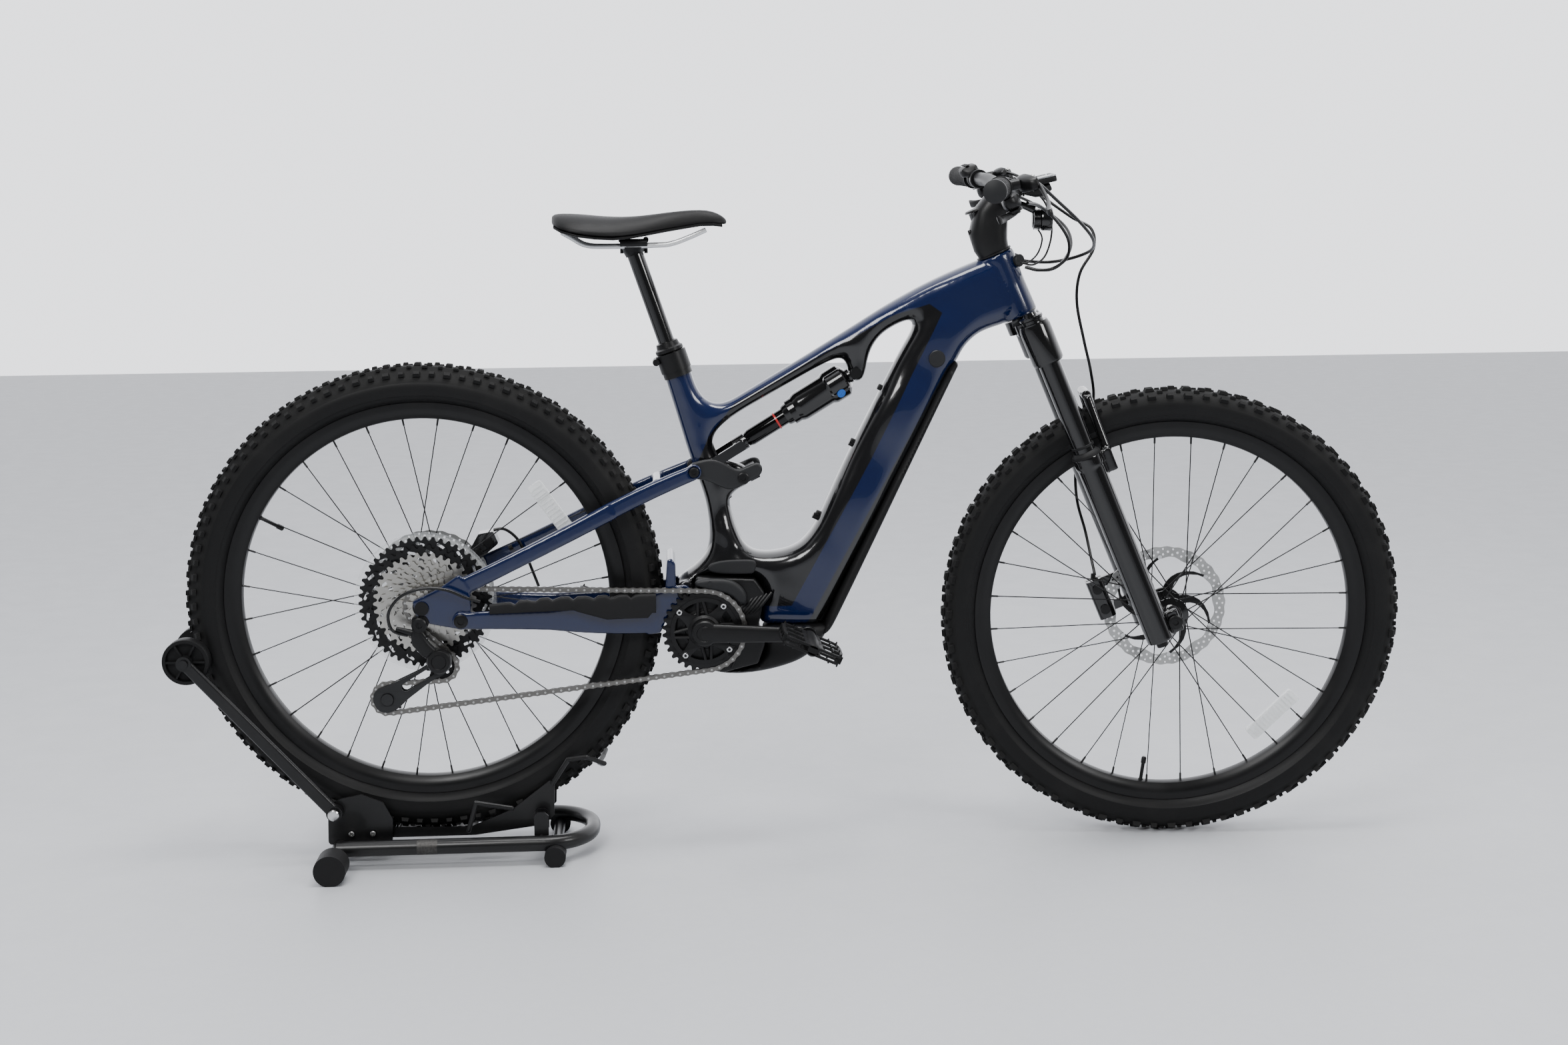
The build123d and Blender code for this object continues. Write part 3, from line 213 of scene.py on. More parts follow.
BLUE = frame_lacquer()
NAVY = surface("navy_lacquer", NAVY_TONE, 0.2, coat=0.7, grain=900, bump=0.012, spread=0.05, tint=0.12,
               specular=0.3)
GLOSS = surface("gloss_black", (0.0018, 0.0018, 0.002), 0.14, coat=0.6, grain=800, bump=0.012, spread=0.05,
                specular=0.3)
SATIN = surface("satin_black", (0.0032, 0.0032, 0.0035), 0.36, grain=1500, bump=0.05, dust=0.012,
                specular=0.26)
MATTE = surface("matte_black", (0.0042, 0.0042, 0.0045), 0.55, grain=1800, bump=0.1, dust=0.012, specular=0.2)
MOULD = surface("moulded_grey", (0.011, 0.0115, 0.0125), 0.5, grain=2200, bump=0.14, dust=0.02, specular=0.25)
LINK_GREY = surface("link_grey", (0.012, 0.0125, 0.0135), 0.42, grain=2200, bump=0.1, specular=0.3)
RUBBER = surface("rubber", (0.0065, 0.0065, 0.007), 0.6, grain=1400, bump=0.2, dust=0.02, specular=0.2)
TREAD = surface("tread", (0.0075, 0.0075, 0.0075), 0.7, grain=900, bump=0.3, dust=0.035, specular=0.15)
WALL = surface("sidewall", (0.0035, 0.0035, 0.0037), 0.5, grain=700, bump=0.15, dust=0.015, specular=0.2)
STEEL = brushed("steel", (0.42, 0.42, 0.41), 0.3)
CHAIN_STEEL = brushed("chain_steel", (0.17, 0.165, 0.155), 0.36)
COG_SILVER = brushed("cog_silver", (0.45, 0.44, 0.41), 0.34)
BOLT = brushed("bolt_steel", (0.6, 0.6, 0.6), 0.2)
CHROME = surface("chrome_black", (0.012, 0.012, 0.012), 0.1, metal=1.0, coat=0.4, spread=0.04)
RAIL_STEEL = surface("rail_silver", (0.66, 0.67, 0.68), 0.3, metal=0.55, grain=1500, bump=0.04)
RED = surface("red_band", (0.4, 0.01, 0.01), 0.3, coat=0.3)
SILVER = surface("silver_trim", (0.36, 0.37, 0.38), 0.32, metal=0.8)
SCREEN = surface("screen", (0.002, 0.002, 0.0025), 0.08, coat=0.7, spread=0.03, specular=0.3)
POWDER = surface("powder_coat", (0.003, 0.003, 0.0033), 0.34, grain=900, bump=0.12, dust=0.02, coat=0.12,
                 specular=0.3)
CABLE = surface("cable_skin", (0.0025, 0.0025, 0.0027), 0.3, coat=0.15, grain=600, specular=0.3)
NIPPLE = surface("nipple_black", (0.008, 0.008, 0.008), 0.35, specular=0.3)


def clear_plastic(name, rough, weight):
    """Thin see-through plastic: mostly transparent, with a weak sheen."""
    mat = surface(name, (0.85, 0.87, 0.88), rough, coat=0.5, grain=300, bump=0.05)
    mat.node_tree.nodes["Principled BSDF"].inputs["Alpha"].default_value = weight
    return mat


CLEAR = clear_plastic("clear_guard", 0.12, 0.2)
REFLECTOR = clear_plastic("reflector", 0.15, 0.6)


# ---------------------------------------------------------------- mesh building
def joined(parts):
    """One (points, faces) pair from several."""
    points, faces = [], []
    for more_points, more_faces in parts:
        base = len(points)
        points.extend(more_points)
        faces.extend([tuple(i + base for i in face) for face in more_faces])
    return points, faces


def piece(name, shape, mat, body, hides=(), angle=40):
    """Makes one piece from (points, faces) or a list of them, and lets it ride on its body."""
    if isinstance(shape, list):
        shape = joined(shape)
    mesh = bpy.data.meshes.new(name)
    mesh.from_pydata([tuple(p) for p in shape[0]], [], shape[1])
    mesh.validate()
    bm = bmesh.new()
    bm.from_mesh(mesh)
    bmesh.ops.remove_doubles(bm, verts=bm.verts, dist=1e-6)
    bmesh.ops.recalc_face_normals(bm, faces=bm.faces)
    bm.to_mesh(mesh)
    bm.free()
    mesh.polygons.foreach_set("use_smooth", [True] * len(mesh.polygons))
    mesh.set_sharp_from_angle(angle=radians(angle))
    obj = bpy.data.objects.new(name, mesh)
    scene.collection.objects.link(obj)
    mesh.materials.append(mat)
    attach(obj, body)
    if hides:
        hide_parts(*hides)
    return obj


def skin(rings, closed=False, caps=True):
    """Surface through rings of equally many points."""
    count = len(rings[0])
    points = [p for one in rings for p in one]
    faces = []
    total = len(rings)
    for i in range(total if closed else total - 1):
        a, b = i * count, ((i + 1) % total) * count
        faces.extend((a + j, a + (j + 1) % count, b + (j + 1) % count, b + j) for j in range(count))
    if caps and not closed:
        faces.append(tuple(range(count - 1, -1, -1)))
        faces.append(tuple(range((total - 1) * count, total * count)))
    return points, faces


def tube(points, radius, sides=12, closed=False, caps=True):
    """Round tube through points; radius is one number or one for each point, in millimetres."""
    radii = radius if isinstance(radius, (list, tuple)) else [radius] * len(points)
    rings = []
    count = len(points)
    side_way = None
    for i, p in enumerate(points):
        before = points[i - 1] if i or closed else p
        after = points[(i + 1) % count] if i < count - 1 or closed else p
        way = (after - before).normalized()
        if side_way is None:
            side_way = way.orthogonal().normalized()
        side_way = (side_way - way * side_way.dot(way)).normalized()
        other = way.cross(side_way)
        r = radii[i] * MM
        rings.append([p + side_way * (r * cos(PI2 * k / sides)) + other * (r * sin(PI2 * k / sides))
                      for k in range(sides)])
    return skin(rings, closed, caps)


def lathe(profile, origin, axis, steps=48, closed=True, start=None, span=PI2):
    """Turned surface about an axis: profile is a list of (radius, height) in millimetres."""
    axis = axis.normalized()
    x_way = (start or axis.orthogonal()).normalized()
    y_way = axis.cross(x_way)
    whole = abs(span - PI2) < 1e-6
    rings = []
    for i in range(steps if whole else steps + 1):
        a = span * i / steps
        way = x_way * cos(a) + y_way * sin(a)
        rings.append([origin + way * (r * MM) + axis * (h * MM) for r, h in profile])
    points = [p for one in rings for p in one]
    count, faces = len(profile), []
    for i in range(steps):
        a, b = i * count, ((i + 1) % len(rings)) * count
        last = count if closed else count - 1
        faces.extend((a + j, b + j, b + (j + 1) % count, a + (j + 1) % count) for j in range(last))
    return points, faces


def disc(profile, origin, axis, steps=48):
    """Turned solid whose profile starts and ends on the axis."""
    return lathe(profile, origin, axis, steps, closed=False)


def sheet_metal(loops, thickness, where, bevel=0.0):
    """Flat part from closed loops of (x, y), the first outside and the rest holes, centred on local z 0."""
    data = bpy.data.curves.new("outline", "CURVE")
    data.dimensions = "2D"
    data.fill_mode = "BOTH"
    for loop in loops:
        line = data.splines.new("POLY")
        line.points.add(len(loop) - 1)
        for i, (x, y) in enumerate(loop):
            line.points[i].co = (x * MM, y * MM, 0, 1)
        line.use_cyclic_u = True
    data.extrude = max(1e-5, (thickness / 2 - bevel) * MM)
    data.bevel_depth = bevel * MM
    data.bevel_resolution = 1
    data.offset = -bevel * MM
    holder = bpy.data.objects.new("outline", data)
    scene.collection.objects.link(holder)
    mesh = bpy.data.meshes.new_from_object(holder.evaluated_get(bpy.context.evaluated_depsgraph_get()))
    points = [where @ v.co for v in mesh.vertices]
    faces = [tuple(p.vertices) for p in mesh.polygons]
    bpy.data.objects.remove(holder)
    bpy.data.curves.remove(data)
    bpy.data.meshes.remove(mesh)
    return points, faces


def circle(x, y, r, count=16):
    return [(x + r * cos(PI2 * i / count), y + r * sin(PI2 * i / count)) for i in range(count)]


def slot_loop(ax, ay, bx, by, r, count=8):
    """Outline of a straight slot with round ends."""
    turn = atan2(by - ay, bx - ax)
    ends = [(bx, by, turn - pi / 2), (ax, ay, turn + pi / 2)]
    return [(x + r * cos(a + pi * i / count), y + r * sin(a + pi * i / count)) for x, y,
            a in ends for i in range(count + 1)]


def rounded(loop, radius, steps=4):
    """Loop of points with its corners rounded."""
    out = []
    count = len(loop)
    for i in range(count):
        p = Vector(loop[i])
        a, b = Vector(loop[i - 1]) - p, Vector(loop[(i + 1) % count]) - p
        cut = min(radius, a.length * 0.45, b.length * 0.45)
        start, end = p + a.normalized() * cut, p + b.normalized() * cut
        for k in range(steps + 1):
            t = k / steps
            out.append(tuple(start * (1 - t) ** 2 + p * 2 * t * (1 - t) + end * t * t))
    return out


def smooth_path(points, steps=6):
    """Centripetal curve through points."""
    out = []
    n = len(points)
    for i in range(n - 1):
        p0, p1, p2, p3 = points[max(i - 1, 0)], points[i], points[i + 1], points[min(i + 2, n - 1)]
        for k in range(steps):
            t = k / steps
            out.append(0.5 * ((2 * p1) + (p2 - p0) * t + (2 * p0 - 5 * p1 + 4 * p2 - p3) * t * t
                              + (3 * p1 - p0 - 3 * p2 + p3) * t ** 3))
    out.append(points[-1])
    return out


def shifted(where, x=0.0, y=0.0, z=0.0):
    """A local frame moved along its own axes, in millimetres."""
    return where @ Matrix.Translation((x * MM, y * MM, z * MM))


def box_at(where, size, taper=1.0):
    """Eight-cornered block centred on a local frame, its top scaled by taper."""
    x, y, z = [s / 2 * MM for s in size]
    corners = [(-x, -y, -z), (x, -y, -z), (x, y, -z), (-x, y, -z)]
    corners += [(-x * taper, -y * taper, z), (x * taper, -y * taper, z), (x * taper, y * taper, z),
                (-x * taper, y * taper, z)]
    faces = [(0, 3, 2, 1), (4, 5, 6, 7), (0, 1, 5, 4), (1, 2, 6, 5), (2, 3, 7, 6), (3, 0, 4, 7)]
    return [where @ Vector(c) for c in corners], faces


def oval_ring(centre, across, upward, width, height, count=24, power=2.4):
    """One ring of a squared-off oval."""
    ring = []
    for i in range(count):
        a = PI2 * i / count
        c, s = cos(a), sin(a)
        ring.append(centre + across * (width / 2 * MM * abs(c) ** (2 / power) * (1 if c > 0 else -1))
                    + upward * (height / 2 * MM * abs(s) ** (2 / power) * (1 if s > 0 else -1)))
    return ring


def loft(sections, across, upward, count=24, power=2.4):
    """Body through oval sections, each (centre, width, height)."""
    return skin([oval_ring(centre, across, upward, w, h, count, power) for centre, w, h in sections])


def bolt_head(centre, way, radius, height, socket=0.5):
    """Socket-head bolt facing along way."""
    r, h = radius, height
    profile = [(0, h * 0.4), (r * socket, h * 0.4), (r * socket, h), (r * 0.85, h), (r, h * 0.75), (r, 0),
               (0, 0)]
    return disc(profile, centre, way, 20)


def eased(obj, voxel, passes):
    """Voxel remesh and smoothing, which blend a piece's edges."""
    remesh = obj.modifiers.new("even", "REMESH")
    remesh.mode = "VOXEL"
    remesh.voxel_size = voxel * MM
    remesh.use_smooth_shade = True
    relax = obj.modifiers.new("relax", "SMOOTH")
    relax.factor = 0.5
    relax.iterations = passes


def soften(name, mat, voxel, passes):
    """Rounds a CAD node's corners for the picture with modifiers, and gives it its material."""
    obj = NODES[name]
    obj.data.materials.clear()
    obj.data.materials.append(mat)
    eased(obj, voxel, passes)


def dress(name, mat, bevel):
    """Gives a CAD node its material and a small bevel."""
    obj = NODES[name]
    obj.data.materials.clear()
    obj.data.materials.append(mat)
    obj.data.polygons.foreach_set("use_smooth", [True] * len(obj.data.polygons))
    mod = obj.modifiers.new("bevel", "BEVEL")
    mod.width = bevel * MM
    mod.segments = 2
    mod.limit_method = "ANGLE"
    mod.angle_limit = radians(35)
    mod.harden_normals = True


# ---------------------------------------------------------------- CAD nodes that show
DRESSED = {
    MATTE: {"battery_pack": 0.8},
    SATIN: {"frame_fasteners": 0.7, "dropper_lower": 0.8, "rear_axle": 0.8},
    GLOSS: {"rear_caliper": 1.2, "shock_can": 1.0, "shock_shaft": 0.8, "fork_upper": 1.0,
            "front_caliper": 1.4},
    POWDER: {"stand_base": 0.6, "stand_tray": 0.8, "stand_quadrants": 0.8, "stand_arm_bars": 1.2},
    RUBBER: {"stand_feet": 1.5},
}
for paint, nodes in DRESSED.items():
    for name, bevel in nodes.items():
        dress(name, paint, bevel)
for name, paint, voxel, passes in (("motor_unit", SATIN, 2.2, 5), ("chainstay", NAVY, 1.8, 7),
                                   ("seatstay", NAVY, 1.8, 7), ("fork_lowers", GLOSS, 1.9, 5)):
    soften(name, paint, voxel, passes)


# ---------------------------------------------------------------- wheels
def wheel_frame(rear):
    """Centre, axle direction to the left, and a start direction, for a wheel."""
    if rear:
        return at(0, AXLE_Z), Y_AXIS, X_AXIS
    return ahead(44, 0, 0), LEFT.copy(), AHEAD.copy()


def knob(centre, out, along, size, taper=0.78):
    where = place(centre, along, out.cross(along))
    return box_at(where, size, taper)


def build_tyre(rear, radius, count):
    """Knobbly tyre: a casing with ribbed sidewalls and rows of blocks."""
    centre, axle, start = wheel_frame(rear)
    high = 3.4 if rear else 4.4
    crown = radius - high
    profile = [(312, 13), (314, 15), (318, 15.5), (320, 20), (326, 25.5), (329, 27), (330, 28.2), (332, 28.2),
               (336, 29),
               (344, 29.5), (350, 28.6), (356, 26), (361, 21.5), (crown - 1.6, 13), (crown, 0)]
    profile += [(r, -y) for r, y in reversed(profile[:-1])] + [(317, -9), (317, 9)]
    parts = [lathe([(r, y) for r, y in profile], centre, axle, 144, start=start)]
    side_way = axle.cross(start)
    rows = []
    rows.append((0.0, 5.4, crown - 0.4, (11 if rear else 15, 8.4, high + 0.8), 0))
    rows.append((0.0, -5.4, crown - 0.4, (11 if rear else 15, 8.4, high + 0.8), 0))
    rows.append((0.5, 14.5, crown - 3.0, (9, 6.5, high), 14))
    rows.append((0.5, -14.5, crown - 3.0, (9, 6.5, high), -14))
    rows.append((0.0, 23.5, 361.5 if rear else 358.5, (12 if rear else 14, 8.5, high + 2.6), 40))
    rows.append((0.0, -23.5, 361.5 if rear else 358.5, (12 if rear else 14, 8.5, high + 2.6), -40))
    for i in range(count):
        for phase, y, r, size, lean in rows:
            shift = 0.22 if (i % 2 and abs(y) < 10) else 0.0
            a = PI2 * (i + phase + (shift if y > 0 else -shift)) / count
            out = start * cos(a) + side_way * sin(a)
            along = side_way * cos(a) - start * sin(a)
            tilt = radians(lean)
            normal = (out * cos(tilt) + axle * sin(tilt)).normalized()
            wide = size[1] * (0.82 if i % 2 and abs(y) > 20 else 1.0)
            long = size[0] * (0.8 if i % 2 else 1.0)
            mid = centre + (out * r + axle * y) * MM + normal * (size[2] / 2 * MM)
            parts.append(knob(mid, normal, along, (long, wide, size[2])))
    name = "rear" if rear else "front"
    tyre = piece(f"{name}_tyre_knobs", parts, TREAD, f"{name}_wheel", [f"{name}_tyre"],
                 angle=32)
    tyre.data.materials.append(WALL)
    limit = (350 if rear else 349) * MM
    for poly in tyre.data.polygons:
        d = poly.center - centre
        if (d - axle * d.dot(axle)).length < limit:
            poly.material_index = 1
    return tyre


def build_rim(rear):
    """Deep box rim with spoke nipples and a valve."""
    centre, axle, start = wheel_frame(rear)
    name = "rear" if rear else "front"
    profile = [(291, 5), (292, 8.5), (296, 12), (303, 16.2), (309, 17), (317.6, 17), (318.4, 16.4),
               (318.4, 14.4),
               (316.5, 13.8), (312, 13.6), (311.4, 11)]
    profile += [(r, -y) for r, y in reversed(profile)]
    parts = [lathe([(r, y) for r, y in profile], centre, axle, 160, start=start)]
    piece(f"{name}_rim_hoop", parts, SATIN, f"{name}_wheel", [f"{name}_rim"], angle=28)
    side_way = axle.cross(start)
    spokes, nipples = [], []
    flanges = (-20, 36) if rear else (-26, 26)
    for number in range(32):
        flange, pair = flanges[number % 2], number // 2
        a = PI2 * (number + 0.5) / 32
        b = a + radians(58) * (1 if pair % 2 else -1)
        lean = 3.0 if pair % 2 else -3.0
        foot = centre + (start * cos(b) + side_way * sin(b)) * 0.0262 + axle * (flange + lean * 0.55) * MM
        bend = centre + (start * cos(b) + side_way * sin(b)) * 0.0262 + axle * (flange - lean * 0.7) * MM
        tip = centre + (start * cos(a) + side_way * sin(a)) * 0.2935 + axle * (3 if number % 2 else -3) * MM
        run = (tip - foot).normalized()
        spokes.append(tube([bend, foot, foot + run * 0.012, tip - run * 0.02, tip],
                           [1.05, 1.05, 0.95, 0.9, 0.9], 6))
        spokes.append(disc([(0, -0.6), (2.1, -0.6), (2.1, 0.5), (0, 0.8)], bend, axle, 8))
        nipples.append(tube([tip - run * 0.0135, tip - run * 0.0125, tip - run * 0.003, tip + run * 0.001],
                            [1.3, 1.75, 1.75, 2.6], 6))
    piece(f"{name}_spoke_set", spokes, SATIN, f"{name}_wheel", [f"{name}_spokes"], angle=60)
    piece(f"{name}_nipples", nipples, NIPPLE, f"{name}_wheel", angle=50)
    a = radians(208 if rear else 120)
    out = start * cos(a) + side_way * sin(a)
    root = centre + out * 0.293
    valve = [disc([(0, 0), (4, 0), (4, 3), (3, 4.5), (3, 30), (4.2, 31), (4.2, 40), (2.6, 42), (0, 42)], root,
                  -out, 16)]
    piece(f"{name}_valve", valve, SATIN, f"{name}_wheel", angle=40)


def build_hub(rear):
    """Hub shell with two flanges, end caps and a rotor mount."""
    centre, axle, start = wheel_frame(rear)
    name = "rear" if rear else "front"
    side_way = axle.cross(start)
    if rear:
        profile = [(6.1, -24), (13, -24), (14, -22), (19, -21.9), (27, -21.4), (29, -20.8), (29, -19.2),
                   (27, -18.6),
                   (20, -17.5), (17, -12), (16.5, 8), (18, 26), (21, 33), (27, 34.6), (29, 35.2), (29, 36.8),
                   (27, 37.4),
                   (22, 39), (21, 46), (22, 52.5), (22, 61), (15, 61.2), (13, 63), (12.4, 66), (6.1, 66)]
    else:
        profile = [(6.1, -54), (11, -54), (12, -53), (13, -36), (16, -34), (19, -30), (27, -27.4),
                   (29, -26.8), (29, -25.2),
                   (27, -24.6), (20, -22), (16.5, -14), (16.5, 14), (20, 22), (27, 24.6), (29, 25.2),
                   (29, 26.8),
                   (27, 27.4), (22, 29), (22, 39), (14, 39.2), (13, 42), (12, 53), (11, 54), (6.1, 54)]
    parts = [lathe([(r, y) for r, y in profile], centre, axle, 64, start=start)]
    piece(f"{name}_hub_shell", parts, GLOSS if not rear else SATIN, f"{name}_wheel",
          [f"{name}_hub"], angle=30)
    y = 62 if rear else 40
    where = place(centre + axle * y * MM, start, side_way)
    outer = []
    for i in range(180):
        a = PI2 * i / 180
        r = 101.5 - 1.6 * (0.5 + 0.5 * cos(a * 30))
        outer.append((r * cos(a), r * sin(a)))
    inner = []
    for i in range(120):
        a = PI2 * i / 120
        r = 82 + 2.2 * cos(a * 12)
        inner.append((r * cos(a), r * sin(a)))
    loops = [outer, inner]
    for i in range(36):
        for ring_r, shift, hole in ((87.5, 0.0, 1.9), (92.0, 0.5, 2.1), (96.6, 0.0, 1.7)):
            a = PI2 * (i + shift) / 36
            loops.append(circle(ring_r * cos(a), ring_r * sin(a), hole, 8))
    band = sheet_metal(loops, 1.8, where)
    piece(f"{name}_rotor_band", [band], STEEL, f"{name}_wheel", [f"{name}_rotor"], angle=30)
    arms = []
    for i in range(6):
        a = PI2 * i / 6
        pts = []
        for k in range(9):
            t = k / 8
            r = 18 + 65 * t
            b = a + radians(46) * t * t
            pts.append((r * cos(b), r * sin(b), 8.5 - 4.5 * t))
        left = [(x - w * sin(atan2(yy, x)), yy + w * cos(atan2(yy, x))) for x, yy, w in pts]
        right = [(x + w * sin(atan2(yy, x)), yy - w * cos(atan2(yy, x))) for x, yy, w in pts]
        arms.append(sheet_metal([right + left[::-1]], 2.6, where, 0.3))
    arms.append(lathe([(17, -3), (30, -3), (31, -2), (31, 2), (30, 3), (17, 3)],
                      centre + axle * y * MM, axle, 48, start=start))
    arms.append(lathe([(13.5, 0), (20.5, 0), (20.5, 5.5), (19.5, 6.5), (13.5, 6.5)],
                      centre + axle * y * MM, axle, 36, start=start))
    piece(f"{name}_rotor_spider", arms, SATIN, f"{name}_wheel", angle=30)
    rivets = []
    for i in range(6):
        b = PI2 * i / 6 + radians(46)
        spot_at = centre + (start * cos(b) + side_way * sin(b)) * 0.0835 + axle * (y - 2.4) * MM
        rivets.append(disc([(0, 0), (3.6, 0), (3.6, 4.2), (3, 4.8), (0, 4.8)], spot_at, axle, 12))
    piece(f"{name}_rotor_rivets", rivets, BOLT, f"{name}_wheel", angle=30)


def reflector(name, rear, angle_deg):
    """Clear wheel reflector held between two spokes."""
    centre, axle, start = wheel_frame(rear)
    side_way = axle.cross(start)
    a = radians(angle_deg)
    out = start * cos(a) + side_way * sin(a)
    along = side_way * cos(a) - start * sin(a)
    where = place(centre + out * 0.248 - axle * 0.004, along, out)
    body = sheet_metal([rounded([(-50, -12.5), (50, -12.5), (50, 12.5), (-50, 12.5)], 5)], 9, where, 1.5)
    ribs = []
    for i in range(13):
        ribs.append(box_at(shifted(where, (i - 6) * 7), (1.4, 21, 11.2)))
    piece(f"{name}_reflector", [body, joined(ribs)], REFLECTOR, f"{name}_wheel", angle=30)


for is_rear, tyre_radius, blocks in ((True, 379, 96), (False, 372, 78)):
    build_tyre(is_rear, tyre_radius, blocks)
    build_rim(is_rear)
    build_hub(is_rear)
reflector("rear", True, 325)
reflector("front", False, 67.4)


# ---------------------------------------------------------------- drivetrain
def gear_loop(teeth, root, tip):
    """Toothed outline, in millimetres, with round hollows that seat a chain's rollers."""
    loop = []
    for i in range(teeth):
        for step, r in ((0.0, root), (0.16, root + 0.9), (0.34, tip - 0.6), (0.45, tip), (0.55, tip),
                        (0.66, tip - 0.6),
                        (0.84, root + 0.9)):
            a = PI2 * (i + step) / teeth
            loop.append((r * cos(a), r * sin(a)))
    return loop


cogs = (10, 12, 14, 16, 18, 21, 24, 28, 33, 39, 45, 51)
silver, black = [], []
for number, teeth in enumerate(cogs):
    pitch_r = CHAIN_PITCH / 2 / sin(pi / teeth)
    y = -68 + number * 3.75 + 0.9
    where = place(at(0, AXLE_Z, y), X_AXIS, Z_AXIS)
    loops = [gear_loop(teeth, pitch_r - 3.9, pitch_r + 2.6), circle(0, 0, 8.5, 24)]
    if teeth > 20:
        count = 12 if teeth < 34 else 18
        r = pitch_r - 11
        for i in range(count):
            a = PI2 * (i + 0.5 * (number % 2)) / count
            b = a + 0.10
            loops.append(slot_loop(r * cos(a), r * sin(a), (r + 3.4) * cos(b), (r + 3.4) * sin(b), 2.3, 4))
    if teeth > 30:
        arms = 6
        for i in range(arms):
            a0 = PI2 * (i + 0.18) / arms
            a1 = PI2 * (i + 0.86) / arms
            r0, r1 = 24, pitch_r - 18
            arc = [(r1 * cos(a0 + (a1 - a0) * k / 8), r1 * sin(a0 + (a1 - a0) * k / 8)) for k in range(9)]
            arc += [(r0 * cos(a1 - (a1 - a0) * k / 4), r0 * sin(a1 - (a1 - a0) * k / 4)) for k in range(5)]
            loops.append(arc)
    made = sheet_metal(loops, 1.9, where)
    (black if number > 9 else silver).append(made)
spacer = lathe([(6.2, 0), (17, 0), (17, 43), (6.2, 43)], at(0, AXLE_Z, -68.5), Y_AXIS, 32)
silver.append(spacer)
lock = lathe([(7.5, 0), (14.5, 0), (15.5, 1), (15.5, 3), (7.5, 3)], at(0, AXLE_Z, -70.4), Y_AXIS, 32)
piece("cog_stack", silver, COG_SILVER, "cogs", ["cassette"], angle=25)
piece("large_cogs", black, SATIN, "cogs", angle=25)
piece("cog_lockring", [lock], SATIN, "cogs", angle=25)

guard = lathe([(26, 0), (108, 0), (112, -3), (112.6, -3), (108.6, 0.6), (26, 0.6)],
              at(0, AXLE_Z, -23.4), Y_AXIS, 72)
piece("spoke_guard", [guard], CLEAR, "rear_wheel", angle=30)


def arc_points(cx, cz, r, a0, a1, y, step=4.0):
    n = max(2, int(abs(a1 - a0) * r / step))
    return [Vector((cx + r * cos(a0 + (a1 - a0) * i / n), y, cz + r * sin(a0 + (a1 - a0) * i / n)))
            for i in range(n + 1)]


def tangent(c1, r1, c2, r2, above):
    """Angle at which a belt leaves two circles on the same side."""
    dx, dz = c2[0] - c1[0], c2[1] - c1[1]
    base = atan2(dz, dx)
    off = (r1 - r2) / hypot(dx, dz)
    turn = pi / 2 - atan2(off, sqrt(1 - off * off))
    return base + turn if above else base - turn


def chain_route():
    """Closed line of the chain in side view: small cog, chainring, lower and upper jockey wheels."""
    cog, ring_c = (0, AXLE_Z), (CRANK_X, CRANK_Z)
    r_cog, r_ring = CHAIN_PITCH / 2 / sin(pi / 14), CHAIN_PITCH / 2 / sin(pi / 32)
    tens, guide, r_p = (-61, 273), (26, 324), 24.2
    cog_y, ring_y, cage_y = CHAIN_Y, -55, CHAIN_Y
    top = tangent(cog, r_cog, ring_c, r_ring, True)
    low = tangent(tens, r_p, ring_c, r_ring, False)
    route = []
    route += arc_points(*ring_c, r_ring, top, low, ring_y) if low < top else arc_points(*ring_c, r_ring, top,
                                                                                        low - PI2, ring_y)
    back = atan2(guide[1] - tens[1], guide[0] - tens[0])
    cross_off = (r_p + r_p) / hypot(guide[0] - tens[0], guide[1] - tens[1])
    cross = pi / 2 - atan2(cross_off, sqrt(1 - cross_off * cross_off))
    leave = back + cross
    route += arc_points(*tens, r_p, low, leave - PI2, cage_y)
    join = back + cross + pi
    dx, dz = cog[0] - guide[0], cog[1] - guide[1]
    far = hypot(dx, dz)
    up_turn = atan2(dz, dx)
    off = (r_p + r_cog) / far
    second = pi / 2 - atan2(off, sqrt(1 - off * off))
    out_guide = up_turn - second
    in_cog = up_turn + pi - second
    start = join
    while start > out_guide:
        start -= PI2
    route += arc_points(*guide, r_p, start, out_guide, cage_y)
    begin = in_cog
    while begin < top:
        begin += PI2
    route += arc_points(*cog, r_cog, begin, top, cog_y)
    return [Vector((REAR_X + p.x, p.y, p.z)) for p in route]


def spaced(route, pitch):
    """Points at equal distances along a closed line."""
    closed = route + [route[0]]
    total = sum((b - a).length for a, b in zip(closed, closed[1:]))
    count = int(round(total / pitch / 2)) * 2
    gap = total / count
    out, want, run = [], 0.0, 0.0
    for a, b in zip(closed, closed[1:]):
        length = (b - a).length
        while want <= run + length and len(out) < count:
            out.append(a + (b - a) * ((want - run) / length if length else 0))
            want += gap
        run += length
    return out


